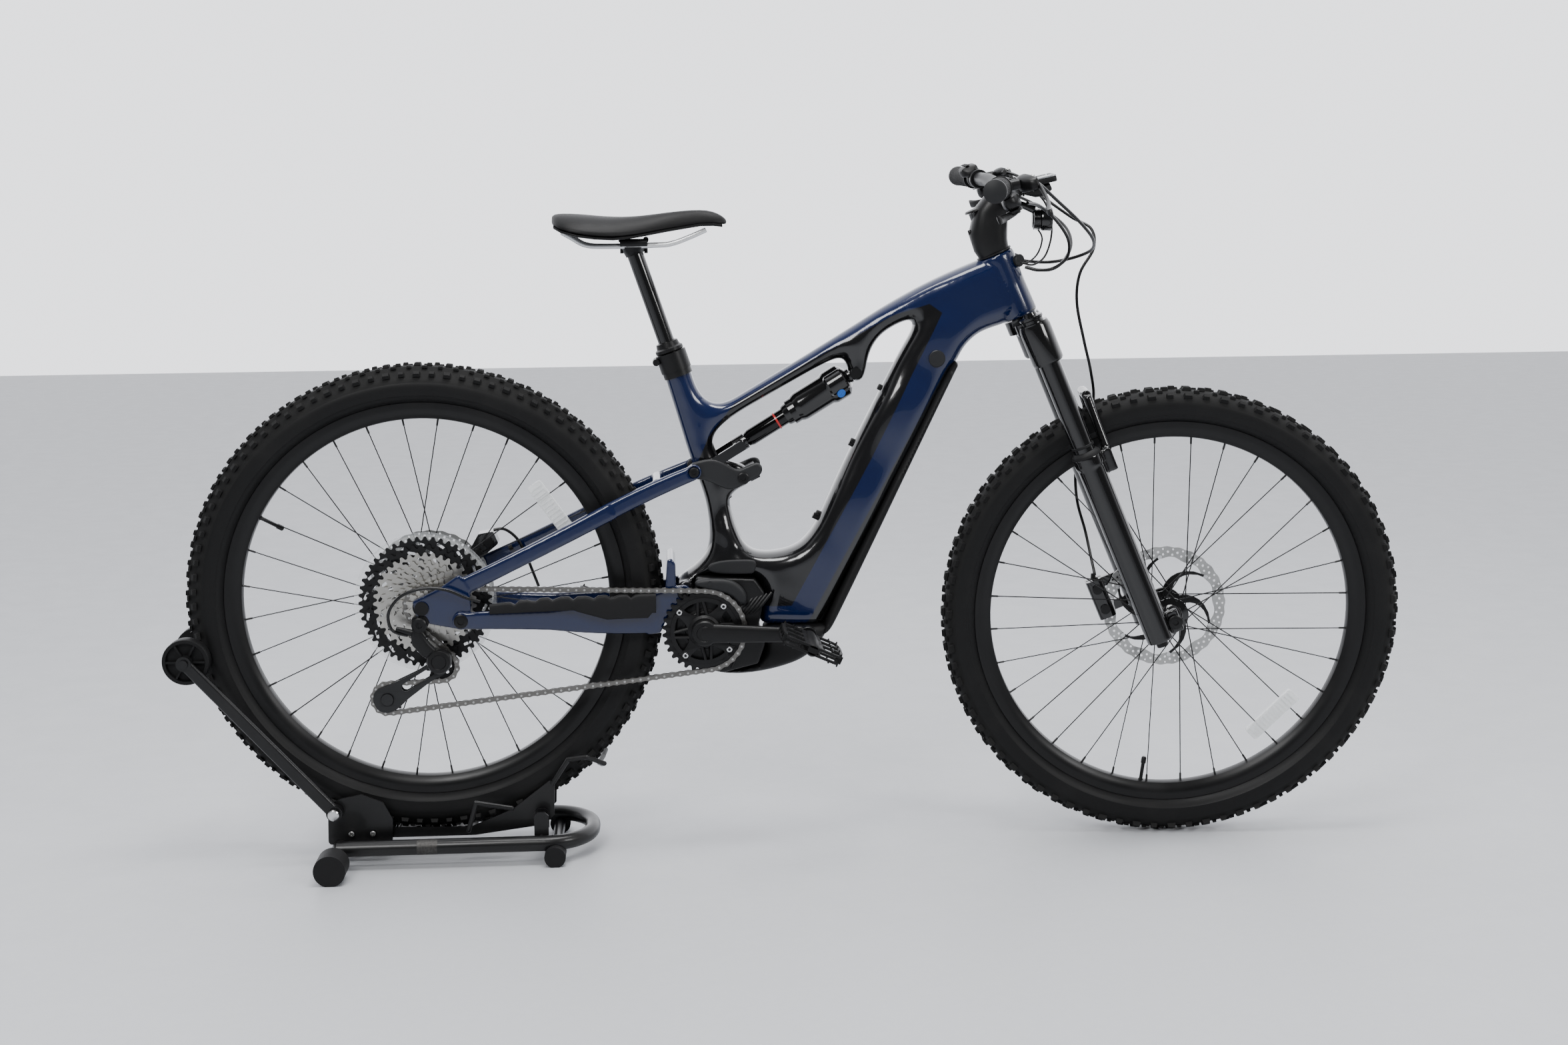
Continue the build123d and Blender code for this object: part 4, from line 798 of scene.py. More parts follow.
links = spaced(chain_route(), CHAIN_PITCH)
plates, rollers = [], []
for i, p in enumerate(links):
    q = links[(i + 1) % len(links)]
    mid, run = (p + q) / 2, (q - p)
    half = run.length / 2
    flat = []
    for sign, base in ((1, 0), (-1, pi)):
        for k in range(7):
            a = base - pi / 2 + pi * k / 6
            flat.append((sign * half * MM + 0.0043 * cos(a), 0.0043 * sin(a)))
        flat.append((0, 0.0031 * sign))
    for way in (-1, 1):
        y = way * (2.1 if i % 2 else 3.1)
        where = place((mid + Vector((0, y, 0))) * MM, run,
                      Z_AXIS if abs(run.z) < 0.9 * run.length else Vector((-1, 0, 0)))
        top_ring = [where @ Vector((x, z, 0.0004)) for x, z in flat]
        low_ring = [where @ Vector((x, z, -0.0004)) for x, z in flat]
        plates.append(skin([low_ring, top_ring]))
    rollers.append(tube([(p + Vector((0, -3.7, 0))) * MM, (p + Vector((0, 3.7, 0))) * MM], 1.8, 8))
    rollers.append(tube([(p + Vector((0, -1.5, 0))) * MM, (p + Vector((0, 1.5, 0))) * MM], 3.8, 10))
piece("chain_links", plates, CHAIN_STEEL, "bicycle", ["chain"], angle=40)
piece("chain_rollers", rollers, STEEL, "bicycle", angle=40)

ring_place = place(at(CRANK_X, CRANK_Z, -55), X_AXIS, Z_AXIS)
ring_r = CHAIN_PITCH / 2 / sin(pi / 32)
ring_parts = [sheet_metal([gear_loop(32, ring_r - 3.9, ring_r + 2.6), circle(0, 0, 47.5, 64)], 3.6,
                          ring_place, 0.4)]
ring_parts.append(lathe([(47.5, -1), (51, -3), (54, -1), (54, 2.5), (47.5, 2.5)],
                        at(CRANK_X, CRANK_Z, -56), -Y_AXIS, 64))
for i in range(4):
    a = PI2 * (i + 0.5) / 4 + 0.12
    loop = []
    for t, w in ((0.0, 15), (0.35, 9), (0.7, 7), (1.0, 10.5)):
        r = 19 + 35 * t
        loop.append((r * cos(a) - w * sin(a), r * sin(a) + w * cos(a)))
    for t, w in ((1.0, 10.5), (0.7, 7), (0.35, 9), (0.0, 15)):
        r = 19 + 35 * t
        loop.append((r * cos(a) + w * sin(a), r * sin(a) - w * cos(a)))
    hole = [circle(50 * cos(a), 50 * sin(a), 4.2, 14)]
    ring_parts.append(sheet_metal([loop] + hole, 6, shifted(ring_place, z=1.2), 1))
    for s in (-1, 1):
        b = a + s * 0.42
        ring_parts.append(tube([ring_place @ Vector((0.022 * cos(b), 0.022 * sin(b), 0.001)),
                                ring_place @ Vector((0.049 * cos(a + s * 0.7), 0.049 * sin(a + s * 0.7),
                                                     0.001))], 2.8, 8))
ring_parts.append(lathe([(12.5, 0), (24, 0), (26, 2), (26, 5), (22, 8.5), (12.5, 8.5)],
                        at(CRANK_X, CRANK_Z, -54.5), -Y_AXIS, 48))
piece("ring_spider", ring_parts, SATIN, "crankset", ["chainring"], angle=30)
ring_bolts = []
for i in range(4):
    a = PI2 * (i + 0.5) / 4 + 0.12
    ring_bolts.append(bolt_head(at(CRANK_X + 50 * cos(a), CRANK_Z + 50 * sin(a), -57.5), -Y_AXIS, 4.6, 2.4))
piece("ring_bolts", ring_bolts, BOLT, "crankset", angle=30)


def crank(name, way, node_name):
    """Forged arm: squared oval sections from the spindle boss to the pedal eye, with a dust cap."""
    rings = []
    drop = -4
    length = CRANK_LENGTH
    for t in [i / 22 for i in range(23)]:
        x = CRANK_X - way * (-10 + (length + 8) * t)
        z = CRANK_Z + (drop if way < 0 else -drop) * t
        y = way * (73 + 10 * min(1, t * 1.15) + (1.5 if t > 0.9 else 0))
        tall = 33 - 9 * min(1, t * 1.3) + (5 if t > 0.88 else 0) - (3 if t < 0.06 else 0)
        wide = 14 + (1.5 if t > 0.88 else 0)
        if t in (0.0, 1.0):
            tall, wide = tall * 0.55, wide * 0.7
        rings.append(oval_ring(at(x, z, y), Y_AXIS, Z_AXIS, wide, tall, 28, 3.2))
    boss = disc([(0, 0), (19.5, 0), (20.5, 1.2), (20.5, 14.5), (18.5, 16.5), (13, 16.8), (12, 15.5),
                 (5.5, 15.5), (5, 12.5), (0, 12.5)], at(CRANK_X, CRANK_Z, way * 64), Y_AXIS * way, 48)
    eye_x, eye_z = CRANK_X - way * length, CRANK_Z + (drop if way < 0 else -drop)
    eye = disc([(0, 0), (12.8, 0), (13.8, 1), (13.8, 13), (12.8, 14), (8.5, 14), (8, 13.5), (0, 13.5)],
               at(eye_x, eye_z, way * 76.2), Y_AXIS * way, 36)
    piece(name, [skin(rings), boss, eye], SATIN, "crankset", [node_name], angle=35)


crank("right_crank", -1, "crank_arm_right")
crank("left_crank", 1, "crank_arm_left")
spindle = tube([at(CRANK_X, CRANK_Z, -64), at(CRANK_X, CRANK_Z, 64)], 11.8, 32)
piece("crank_spindle", [spindle], SATIN, "crankset", angle=30)


def pedal(name, way, node_name, body):
    """Platform pedal: an axle barrel, a bowed cage with windows, and pins."""
    eye_x, eye_z = CRANK_X - way * CRANK_LENGTH, CRANK_Z + (-4 if way < 0 else 4)
    tilt = radians(24)
    x_way = Vector((cos(tilt), 0, -sin(tilt)))
    up = Vector((sin(tilt), 0, cos(tilt)))
    centre = at(eye_x, eye_z, way * 147)
    where = place(centre, x_way, Y_AXIS)
    outline = rounded([(-44, -49), (44, -49), (50, -22), (50, 24), (44, 49), (-44, 49), (-50, 24),
                       (-50, -22)], 9)
    loops = [outline]
    for x0, x1 in ((-43, -15), (15, 43)):
        for y0, y1 in ((-43, -16), (-10, 12), (18, 43)):
            loops.append(rounded([(x0, y0), (x1, y0), (x1, y1), (x0, y1)], 5))
    parts = []
    for level in (-5.5, 5.5):
        parts.append(sheet_metal(loops, 4, shifted(where, z=level), 0.7))
    for x in (-46.5, 46.5):
        for y in (-36, -12, 14, 38):
            parts.append(box_at(shifted(where, x, y), (5, 7, 12)))
    parts.append(tube([at(eye_x, eye_z, way * (99)), at(eye_x, eye_z, way * 104), at(eye_x, eye_z, way * 150),
                       at(eye_x, eye_z, way * 192), at(eye_x, eye_z, way * 196)], [9, 11.5, 12.5, 10.5, 8],
                      32))
    parts.append(tube([at(eye_x, eye_z, way * 90.4), at(eye_x, eye_z, way * 98)], 7.8, 6))
    piece(name, parts, MATTE, body, [node_name], angle=30)
    pins = []
    for x in (-44, -30, 30, 44):
        for y in (-42, -13, 15, 42):
            for s in (-1, 1):
                root = where @ Vector((x * MM, y * MM, s * 0.0072))
                pins.append(tube([root, root + up * s * 0.0035], [1.7, 1.2], 6))
    piece(name + "_pins", pins, SATIN, body, angle=40)


pedal("right_platform", -1, "pedal_right", "right_pedal")
pedal("left_platform", 1, "pedal_left", "left_pedal")


# ---------------------------------------------------------------- gear changer
def jockey(name, x, z, body, node_name):
    """Toothed jockey wheel with round windows and a pressed cap."""
    where = place(at(x, z, CHAIN_Y), X_AXIS, Z_AXIS)
    loops = [gear_loop(14, 19.5, 25.5), circle(0, 0, 3.3, 16)]
    for i in range(7):
        a = PI2 * i / 7
        loops.append(circle(12.5 * cos(a), 12.5 * sin(a), 3, 12))
    plate = sheet_metal(loops, 2.4, where, 0.3)
    cap = disc([(0, -2.8), (7.5, -2.8), (8, -2.2), (8, 2.2), (7.5, 2.8), (0, 2.8)], at(x, z, CHAIN_Y), Y_AXIS,
               24)
    piece(name, [plate, cap], MATTE, body, [node_name], angle=30)


jockey("upper_jockey", 26, 324, "upper_pulley", "guide_pulley")
jockey("lower_jockey", -61, 273, "lower_pulley", "tension_pulley")
cage_parts = []
for y in (-53, -66.1):
    where = side_place(y)
    outline = [(37, 330), (30, 337), (16, 335), (-10, 318), (-58, 296), (-80, 288), (-85, 272), (-76, 254),
               (-60, 250), (-44, 258),
               (-30, 272), (10, 302), (34, 314)]
    hole = slot_loop(8, 316, -32, 292, 6.5)
    cage_parts.append(sheet_metal([rounded(outline, 8), hole, circle(-61, 273, 10, 24)], 1.8, where, 0.3))
cage_parts.append(disc([(0, 0), (9, 0), (9.5, 1), (9.5, 2.5), (5, 3), (0, 3)], at(-61, 273, -67), -Y_AXIS,
                       32))
cage_parts.append(disc([(0, 0), (6, 0), (6.5, 2), (0, 2.5)], at(26, 324, -67), -Y_AXIS, 24))
for x, z in ((26, 324), (-61, 273)):
    cage_parts.append(tube([at(x, z, -67), at(x, z, -52.2)], 3, 12))
piece("cage_plates", cage_parts, LINK_GREY, "changer_cage", ["derailleur_cage"], angle=30)
pin_disc = disc([(0, 0), (18.5, 0), (19.5, 1), (19.5, 14), (17.5, 17.5), (12, 18.2), (11, 16.5), (0, 16.5)],
                at(24, 336, -70), -Y_AXIS, 40)
arm = []
for x, z, y, w, h in ((-8, 404, -83, 8, 16), (-12, 392, -84, 10, 24), (-9, 374, -82, 12, 26),
                      (4, 356, -79, 13, 24), (18, 343, -77, 13, 20), (24, 338, -77, 10, 14)):
    way = Vector((0.55, 0, 0.83))
    arm.append(oval_ring(at(x, z, y), Y_AXIS, way, w, h, 24, 3.0))
hanger = sheet_metal([rounded([(-16, 408), (6, 410), (12, 398), (2, 384), (-16, 386)], 5)], 8,
                     side_place(-76), 1)
bolt = disc([(0, 0), (11.5, 0), (12, 1), (12, 8), (10, 9.5), (5, 9.5), (4.5, 7), (0, 7)],
            at(-4, 396, -80), -Y_AXIS, 32)
barrel = tube([at(-40, 392, -88), at(-28, 388, -87), at(-16, 384, -86)], [3.5, 4.5, 5.5], 16)
piece("changer_knuckles", [pin_disc, skin(arm), hanger, bolt, barrel], SATIN, "rear_stays",
      ["derailleur_body"], angle=35)


# ---------------------------------------------------------------- frame and suspension
FRAME_EDGE = [(383, 786), (389, 766), (407, 705), (426, 637), (438, 607), (448, 575), (453, 545), (454, 515),
              (451, 495), (444, 482),
              (428, 466), (410, 455), (401, 440), (401, 424), (414, 416), (428, 430), (434, 449), (470, 453),
              (524, 449), (538, 428),
              (531, 403), (531, 374), (545, 369), (620, 366), (634, 370), (772, 636), (800, 692), (840, 772),
              (852, 790), (864, 813),
              (884, 832), (905, 841), (926, 847), (950, 858), (958, 872), (945, 910), (926, 954), (908, 956),
              (885, 949), (840, 931),
              (794, 910), (740, 881), (690, 850), (640, 820), (595, 793), (550, 767), (514, 746), (488, 731),
              (468, 727), (451, 734),
              (439, 750), (431, 772), (424, 800)]
FRAME_GAP = [(460, 661), (464, 679), (478, 695), (505, 714), (541, 734), (595, 764), (630, 783), (655, 795),
             (670, 797), (677, 786),
             (680, 770), (686, 761), (694, 759), (702, 763), (707, 776), (711, 798), (719, 818), (733, 835),
             (752, 847), (768, 854),
             (779, 856), (783, 850), (779, 836), (759, 803), (675, 641), (634, 552), (620, 525), (604, 505),
             (588, 495), (568, 489),
             (545, 487), (524, 490), (508, 503), (498, 528), (490, 552), (486, 576), (500, 590), (518, 597),
             (524, 612), (514, 628),
             (492, 634), (470, 640)]
HALF_WIDTHS = [(594, 359, 39), (684, 543, 38), (764, 706, 36), (826, 833, 33), (452, 705, 20), (560, 752, 21),
               (690, 825, 23),
               (800, 885, 27), (880, 895, 30), (945, 890, 30), (400, 780, 21.5), (420, 690, 21),
               (440, 640, 22), (472, 570, 24),
               (484, 510, 31), (520, 470, 40), (600, 480, 39), (560, 420, 40), (414, 436, 37), (690, 790, 17),
               (508, 612, 22)]


def rounded_off(loop, times=3):
    """Closed outline with its corners cut several times over."""
    for _ in range(times):
        loop = [((a[0] * w + b[0] * (1 - w)), (a[1] * w + b[1] * (1 - w))) for a,
                b in zip(loop, loop[1:] + loop[:1]) for w in (0.75, 0.25)]
    return loop


def walked(loop, step):
    """Points evenly spaced along a closed outline."""
    points, carry = [], 0.0
    for (ax, ay), (bx, by) in zip(loop, loop[1:] + loop[:1]):
        run = hypot(bx - ax, by - ay)
        while carry < run:
            points.append((ax + (bx - ax) * carry / run, ay + (by - ay) * carry / run))
            carry += step
        carry -= run
    return points


def within(point, loop):
    """Whether a side-view point lies inside a closed outline."""
    x, y = point
    odd = False
    for (ax, ay), (bx, by) in zip(loop, loop[1:] + loop[:1]):
        if (ay > y) != (by > y) and x < ax + (y - ay) * (bx - ax) / (by - ay):
            odd = not odd
    return odd


def pillow(edge, gaps, half_width, round_over, power=2.3, grid=6.0, side_y=0.0):
    """Moulded body with a side-view outline and holes, whose faces bulge from the outline to a half width."""
    loops = [walked(rounded_off(edge), 3.5)] + [walked(rounded_off(gap), 3.5) for gap in gaps]
    tree = KDTree(sum(len(loop) for loop in loops))
    flat, borders = [], []
    for loop in loops:
        base = len(flat)
        for number, point in enumerate(loop):
            tree.insert((point[0], point[1], 0), base + number)
            flat.append(Vector(point))
            borders.append((base + number, base + (number + 1) % len(loop)))
    tree.balance()

    def free(point, need):
        inside = within(point, loops[0]) and not any(within(point, gap) for gap in loops[1:])
        return inside and tree.find((point[0], point[1], 0))[2] > need

    for offset in (0.6, 1.8, 3.8, 6.8, 10.8):
        for loop in loops:
            count = len(loop)
            for i in range(0, count, 1 if offset < 6 else 2):
                (ax, ay), (bx, by) = loop[i - 1], loop[(i + 1) % count]
                run = hypot(bx - ax, by - ay)
                for way in (-1, 1):
                    point = (loop[i][0] - way * (by - ay) / run * offset,
                             loop[i][1] + way * (bx - ax) / run * offset)
                    if free(point, offset * 0.93):
                        flat.append(Vector(point))
    low_x, high_x = min(p[0] for p in edge), max(p[0] for p in edge)
    low_z, high_z = min(p[1] for p in edge), max(p[1] for p in edge)
    for i in range(int((high_x - low_x) / grid) + 1):
        for j in range(int((high_z - low_z) / grid) + 1):
            point = (low_x + i * grid + (j % 2) * grid / 2, low_z + j * grid)
            if free(point, 13):
                flat.append(Vector(point))
    flat, _, faces, *_ = delaunay_2d_cdt(flat, borders, [], 1, 1e-5)
    kept = []
    for face in faces:
        middle = sum((flat[i] for i in face), Vector((0, 0))) / len(face)
        if within(middle, loops[0]) and not any(within(middle, gap) for gap in loops[1:]):
            kept.append(tuple(face))
    heights = []
    for point in flat:
        depth = min(1.0, tree.find((point[0], point[1], 0))[2] / round_over)
        heights.append(half_width(point[0], point[1]) * (1 - (1 - depth) ** power) ** (1 / power))
    points = [at(p[0], p[1], side_y - h) for p, h in zip(flat, heights)] + [at(p[0], p[1], side_y + h) for p,
                                                                            h in zip(flat, heights)]
    total = len(flat)
    return points, kept + [tuple(i + total for i in reversed(face)) for face in kept]


def frame_width(x, z):
    """Half the frame's width near a side-view point, blended from the widths along its tubes."""
    weights = [(1 / (hypot(x - px, z - pz) + 4) ** 3, width) for px, pz, width in HALF_WIDTHS]
    return sum(w * width for w, width in weights) / sum(w for w, _ in weights)


shell = pillow(FRAME_EDGE, [FRAME_GAP], frame_width, 27)
head_tube = disc([(0, 546), (28.5, 546), (30.5, 549), (30.3, 560), (29.2, 600), (30.3, 640), (30, 649),
                  (28.5, 652), (0, 652)], ahead(0, 0, 0), UP, 64)
main_boss = tube([at(414, 434, -38), at(414, 434, 38)], 14, 32)
moulded = piece("frame_shell", [shell, head_tube, main_boss], BLUE, "bicycle", ["frame"],
                angle=180)
eased(moulded, 2.4, 7)
SKID = [(450, 296), (470, 290), (508, 288), (560, 296), (606, 312), (632, 340), (643, 358), (644, 372),
        (600, 374), (533, 372),
        (543, 345), (531, 309), (470, 300)]
SKID_WIDTH = 38
skid = pillow(SKID, [], lambda x, z: SKID_WIDTH, 16)
cover = pillow([(642, 350), (662, 386), (808, 690), (848, 772), (856, 788), (842, 793), (780, 668),
                (622, 352)], [], lambda x, z: 36, 7.5)
port = pillow([(447, 459), (452, 480), (522, 482), (528, 474), (524, 460), (518, 457)], [], lambda x, z: 3, 3,
              side_y=-40)
chain_shield = pillow([(425, 446), (434, 455), (484, 455), (508, 437), (512, 414), (500, 411), (484, 430),
                       (440, 440)], [], lambda x, z: 7.5, 7, side_y=-56)
piece("battery_cover", [cover, skid], MATTE, "bicycle", ["frame_covers"], angle=60)
piece("port_covers", [port, chain_shield, tube([at(452, 448, -63.4), at(452, 448, -64.6)], 4, 20)], MOULD,
      "bicycle", angle=60)
CHEEK = [(418, 623), (424, 636), (439, 641), (460, 644), (480, 636), (498, 624), (512, 630), (528, 637),
         (539, 632), (538, 616),
         (512, 603), (490, 591), (468, 600), (447, 610), (430, 611)]
cheeks = [pillow(CHEEK, [], lambda x, z: 4, 4.5, side_y=way * 34.5) for way in (-1, 1)]
web = box_at(place(at(524, 618), Vector((1, 0, 0.5)), Z_AXIS), (16, 20, 62))
pins = [tube([at(430, 624, way * 24), at(430, 624, way * 49.5)], 4, 16) for way in (-1, 1)]
pins += [tube([at(452, 630, way * 31), at(452, 630, way * 37)], 4, 16) for way in (-1, 1)]
piece("rocker_cheeks", cheeks + [web] + pins, LINK_GREY, "rocker", ["rocker_link"], angle=50)

rings = []
for i in range(41):
    t = i / 40
    x = 106 + 260 * t
    scallop = max(0.0, sin(PI2 * (t * 8.5))) ** 2 * (5.5 if 0.08 < t < 0.95 else 0)
    top = 426 + 7 * min(1, t * 3) - scallop
    low = 411 - 17 * max(0, min(1, (t - 0.5) * 5)) if t < 0.97 else 402
    y = -80 + 26 * min(1, t * 1.15) - (3 if t > 0.5 else 0)
    rings.append(oval_ring(at(x, (top + low) / 2, y - 2), Y_AXIS, Z_AXIS, 13, (top - low), 20, 5))
piece("stay_guard", [skin(rings)], RUBBER, "rear_swing", ["chainstay_guard"], angle=45)

for x, z, y, r in ((61, 401, -87, 11), (0, 421, -78, 10), (410, 430, -50, 9), (430, 624, -49.5, 8),
                   (508, 612, -38, 9),
                   (61, 401, 87, 11), (410, 430, 50, 9), (430, 624, 49.5, 8), (508, 612, 38, 9)):
    body = {61: "rear_swing", 0: "rear_stays", 410: "bicycle", 430: "rocker", 508: "bicycle"}[x]
    head = bolt_head(at(x, z, y), Y_AXIS if y > 0 else -Y_AXIS, r, 3.2)
    piece(f"pivot_cap_{x}_{'left' if y > 0 else 'right'}", [head], SATIN, body, angle=30)

ribs = []
for i in range(6):
    lean = radians(52)
    x0, z0 = 498 + i * 7.5, 398 + i * 2
    ribs.append(tube([at(x0 - 16, z0 - 16, -46), at(x0, z0 + 2, -49.5), at(x0 + 15, z0 + 20, -46)],
                     [2.2, 3, 2.2], 8))
for i in range(5):
    x0 = 440 + i * 11
    ribs.append(tube([at(x0, 300 + i * 1.5, -47), at(x0 + 9, 322 + i, -48)], 2, 8))
cover = disc([(0, 0), (33.5, 0), (35, 1), (35, 3), (31, 4), (29, 2.5), (0, 2.5)], at(CRANK_X, CRANK_Z, -46.5),
             -Y_AXIS, 48)
piece("motor_ribs", ribs + [cover], SATIN, "bicycle", angle=40)
case_bolts = [bolt_head(at(CRANK_X + 54 * cos(a), CRANK_Z + 54 * sin(a), -48), -Y_AXIS, 4.5, 2.5)
              for a in (0.6, 1.4, 2.6, 3.6, 4.6, 5.7)]
piece("motor_bolts", case_bolts, BOLT, "bicycle", angle=30)

rivets = []
for x, z in ((732, 748), (687, 662), (631, 546)):
    rivets.append(bolt_head(at(x, z, 0), Vector((-0.9, 0, 0.44)), 5, 6))
piece("cage_bolts", rivets, SATIN, "bicycle", angle=30)

round_cap = disc([(0, 0), (12.5, 0), (13.5, 1), (12.5, 2.2), (0, 2.6)], at(817, 796, -32.5),
                 Vector((0.1, -1, 0)), 32)
port_cap = disc([(0, -4), (9.5, -4), (10.2, 1), (9.2, 2.8), (0, 3.4)], at(949, 948, -20),
                Vector((0.6, -0.8, 0)), 32)
port_cap_left = disc([(0, -4), (9.5, -4), (10.2, 1), (9.2, 2.8), (0, 3.4)], at(949, 948, 20),
                     Vector((0.6, 0.8, 0)), 32)
piece("frame_caps", [round_cap, port_cap, port_cap_left], MOULD, "bicycle", angle=35)

collar = tube([at(397 + 9, 809 - 27), at(397 - 0.3, 809 + 1)], 24.5, 40)
clamp = tube([at(374, 795, -16), at(374, 795, 16)], 5.5, 20)
lip = disc([(0, 0), (21, 0), (22.5, 1.5), (22.5, 6), (19, 8.5), (17.5, 16), (13.5, 17.5), (0, 17.5)],
           at(397, 809) + POST_UP * 0.002, POST_UP, 40)
piece("seat_clamp", [collar, clamp, lip], SATIN, "bicycle", angle=35)

shock_way = Vector((690 - 452, 0, 774 - 630)).normalized()
eye = at(690, 774)


def shock_at(d, y=0):
    return eye - shock_way * d * MM + Vector((0, y * MM, 0))


can = disc([(0, 13), (13.5, 13), (22.5, 19), (27, 23), (27.5, 26), (27.5, 47), (26, 51), (24.2, 54),
            (24.2, 102), (23.2, 107), (18.5, 117), (17.2, 129), (15.5, 132), (13.8, 132), (0, 131)], eye,
           -shock_way, 64)
res = disc([(0, 0), (17, 0), (18.5, 2), (18.5, 28), (16, 31), (0, 31)],
           shock_at(22, -16) + Vector((0, 0, 0.004)), -shock_way, 40)
piece("shock_body_detail", [can, res], GLOSS, "shock_body", angle=35)
knobs = [disc([(0, 0), (6, 0), (7, 1), (7, 5), (0, 5.5)], shock_at(30, -24) + Vector((0, 0, -0.014)),
              Vector((0.3, -0.9, -0.3)), 20)]
piece("shock_dial", knobs, surface("dial_blue", (0.02, 0.11, 0.42), 0.3, metal=0.7), "shock_body",
      angle=35)
band = lathe([(13.6, 0), (14.7, 0.6), (14.7, 2.8), (13.6, 3.4)], shock_at(145), -shock_way, 40)
piece("shock_band", [band], RED, "shock_slider", angle=35)
rod_skin = tube([shock_at(96), shock_at(196), shock_at(204)], [13.7, 13.7, 11], 40)
piece("shock_rod", [rod_skin], CHROME, "shock_slider", angle=35)

hose_clip = []
for x, z, y in ((131, 492, 52), (230, 536, 60), (330, 584, 50)):
    hose_clip.append(lathe([(3, -3), (4.6, -3), (4.6, 3), (3, 3)], at(x, z, y), Vector((0.9, 0, 0.42)), 16))
piece("hose_clips", hose_clip, MATTE, "rear_stays", angle=40)


# ---------------------------------------------------------------- fork
wipers, caps, adjusters = [], [], []
for way in (-1, 1):
    base = ahead(12, way * 66, 306)
    wipers.append(lathe([(17.6, 0), (23.2, 0), (23.8, 3), (22.5, 6), (18.5, 9.5), (17.6, 9.5)], base, UP, 40))
    caps.append(disc([(0, 0), (17.5, 0), (19, 1.5), (19, 5), (11, 7), (10, 12), (0, 13)],
                     ahead(12, way * 66, 541), UP, 36))
    caps.append(lathe([(17.6, 0), (24.5, 0), (25.2, 3), (25.2, 58), (23.5, 64), (17.6, 64)],
                      ahead(12, way * 66, 470), UP, 40))
    adjusters.append(disc([(0, 0), (9, 0), (10, 2), (9.5, 10), (0, 10.5)], ahead(12, way * 66, -20), -UP, 24))
piece("fork_wipers", wipers, RUBBER, "fork_slider", angle=35)
piece("fork_caps", caps, GLOSS, "steering", angle=35)
piece("fork_adjusters", adjusters, SATIN, "fork_slider", angle=35)
sag = lathe([(17.6, 0), (18.6, 0.6), (18.6, 3.8), (17.6, 4.4)], ahead(12, -66, 322), UP, 32)
piece("sag_ring", [sag], RUBBER, "steering", angle=35)
axle_end = disc([(0, 0), (10.5, 0), (11.5, 1), (11.5, 4), (9.5, 5.2), (4.5, 5.2), (4, 3), (0, 3)],
                ahead(44, -70, 0), -LEFT, 32)
piece("front_axle_end", [axle_end], SATIN, "fork_slider", angle=35)
pistons = []
for x, y, z, r in ((-48, 52, 36, 8), (-48, 52, 72, 8), (-48, 26, 36, 8), (-48, 26, 72, 8)):
    pistons.append(disc([(0, 0), (r, 0), (r * 1.06, 1), (r, 3.5), (0, 4)], ahead(x, y, z),
                        LEFT if y > 40 else -LEFT, 24))
pistons.append(tube([ahead(-48, 44, 84), ahead(-44, 44, 96)], [5, 3.5], 16))
for z in (30, 78):
    pistons.append(bolt_head(ahead(-24, 53, z), LEFT, 4.5, 5))
piece("front_caliper_detail", pistons, SATIN, "fork_slider", angle=35)
rear_pistons = []
for x, z in ((78, 484), (96, 502)):
    rear_pistons.append(disc([(0, 0), (8.5, 0), (9, 1), (8, 3.5), (0, 4)], at(x, z, 77), Y_AXIS, 24))
    rear_pistons.append(disc([(0, 0), (8.5, 0), (9, 1), (8, 3.5), (0, 4)], at(x, z, 47), -Y_AXIS, 24))
piece("rear_caliper_detail", rear_pistons, SATIN, "rear_stays", angle=35)


# ---------------------------------------------------------------- cockpit
BAR_END, BAR_KNEE = Vector((13, 385, 768)), Vector((43, 150, 755))
BAR_WAY = (BAR_KNEE - BAR_END).normalized()


def on_bar(distance, way, x=0, z=0):
    p = BAR_END + BAR_WAY * distance
    return ahead(p.x + x, way * p.y, p.z + z)


bar_line, bar_radii = [], []
for way in (-1, 1):
    half = [(13, 385, 768, 11.1), (43, 150, 755, 11.1), (47, 118, 749, 12.2), (50, 86, 741, 14.2),
            (52, 60, 735.5, 15.9), (52, 40, 735, 15.9)]
    order = half if way < 0 else half[::-1]
    for x, y, z, r in order:
        bar_line.append(ahead(x, way * y, z))
        bar_radii.append(r)
piece("riser_bar", [tube(bar_line, bar_radii, 32)], SATIN, "steering", ["handlebar"], angle=40)

grip_parts, end_caps = [], []
for way in (-1, 1):
    profile = [(11.2, 0), (16.2, 0)]
    for i in range(27):
        h = 6 + i * 4.4
        profile += [(16.2, h), (15, h + 0.6), (15, h + 2), (16.2, h + 2.7)]
    profile += [(15.8, 127), (17.8, 127.5), (17.8, 131.5), (11.2, 132)]
    axis = (on_bar(100, way) - on_bar(0, way)).normalized()
    grip_parts.append(lathe(profile, on_bar(0, way), axis, 40))
    end_caps.append(disc([(0, -4.2), (14.8, -4.2), (16.6, -3), (16.8, 4), (16.2, 6), (0, 6)], on_bar(0, way),
                         axis, 40))
piece("ribbed_grips", grip_parts, MATTE, "steering", ["grips"], angle=30)
piece("grip_ends", end_caps, MOULD, "steering", angle=35)

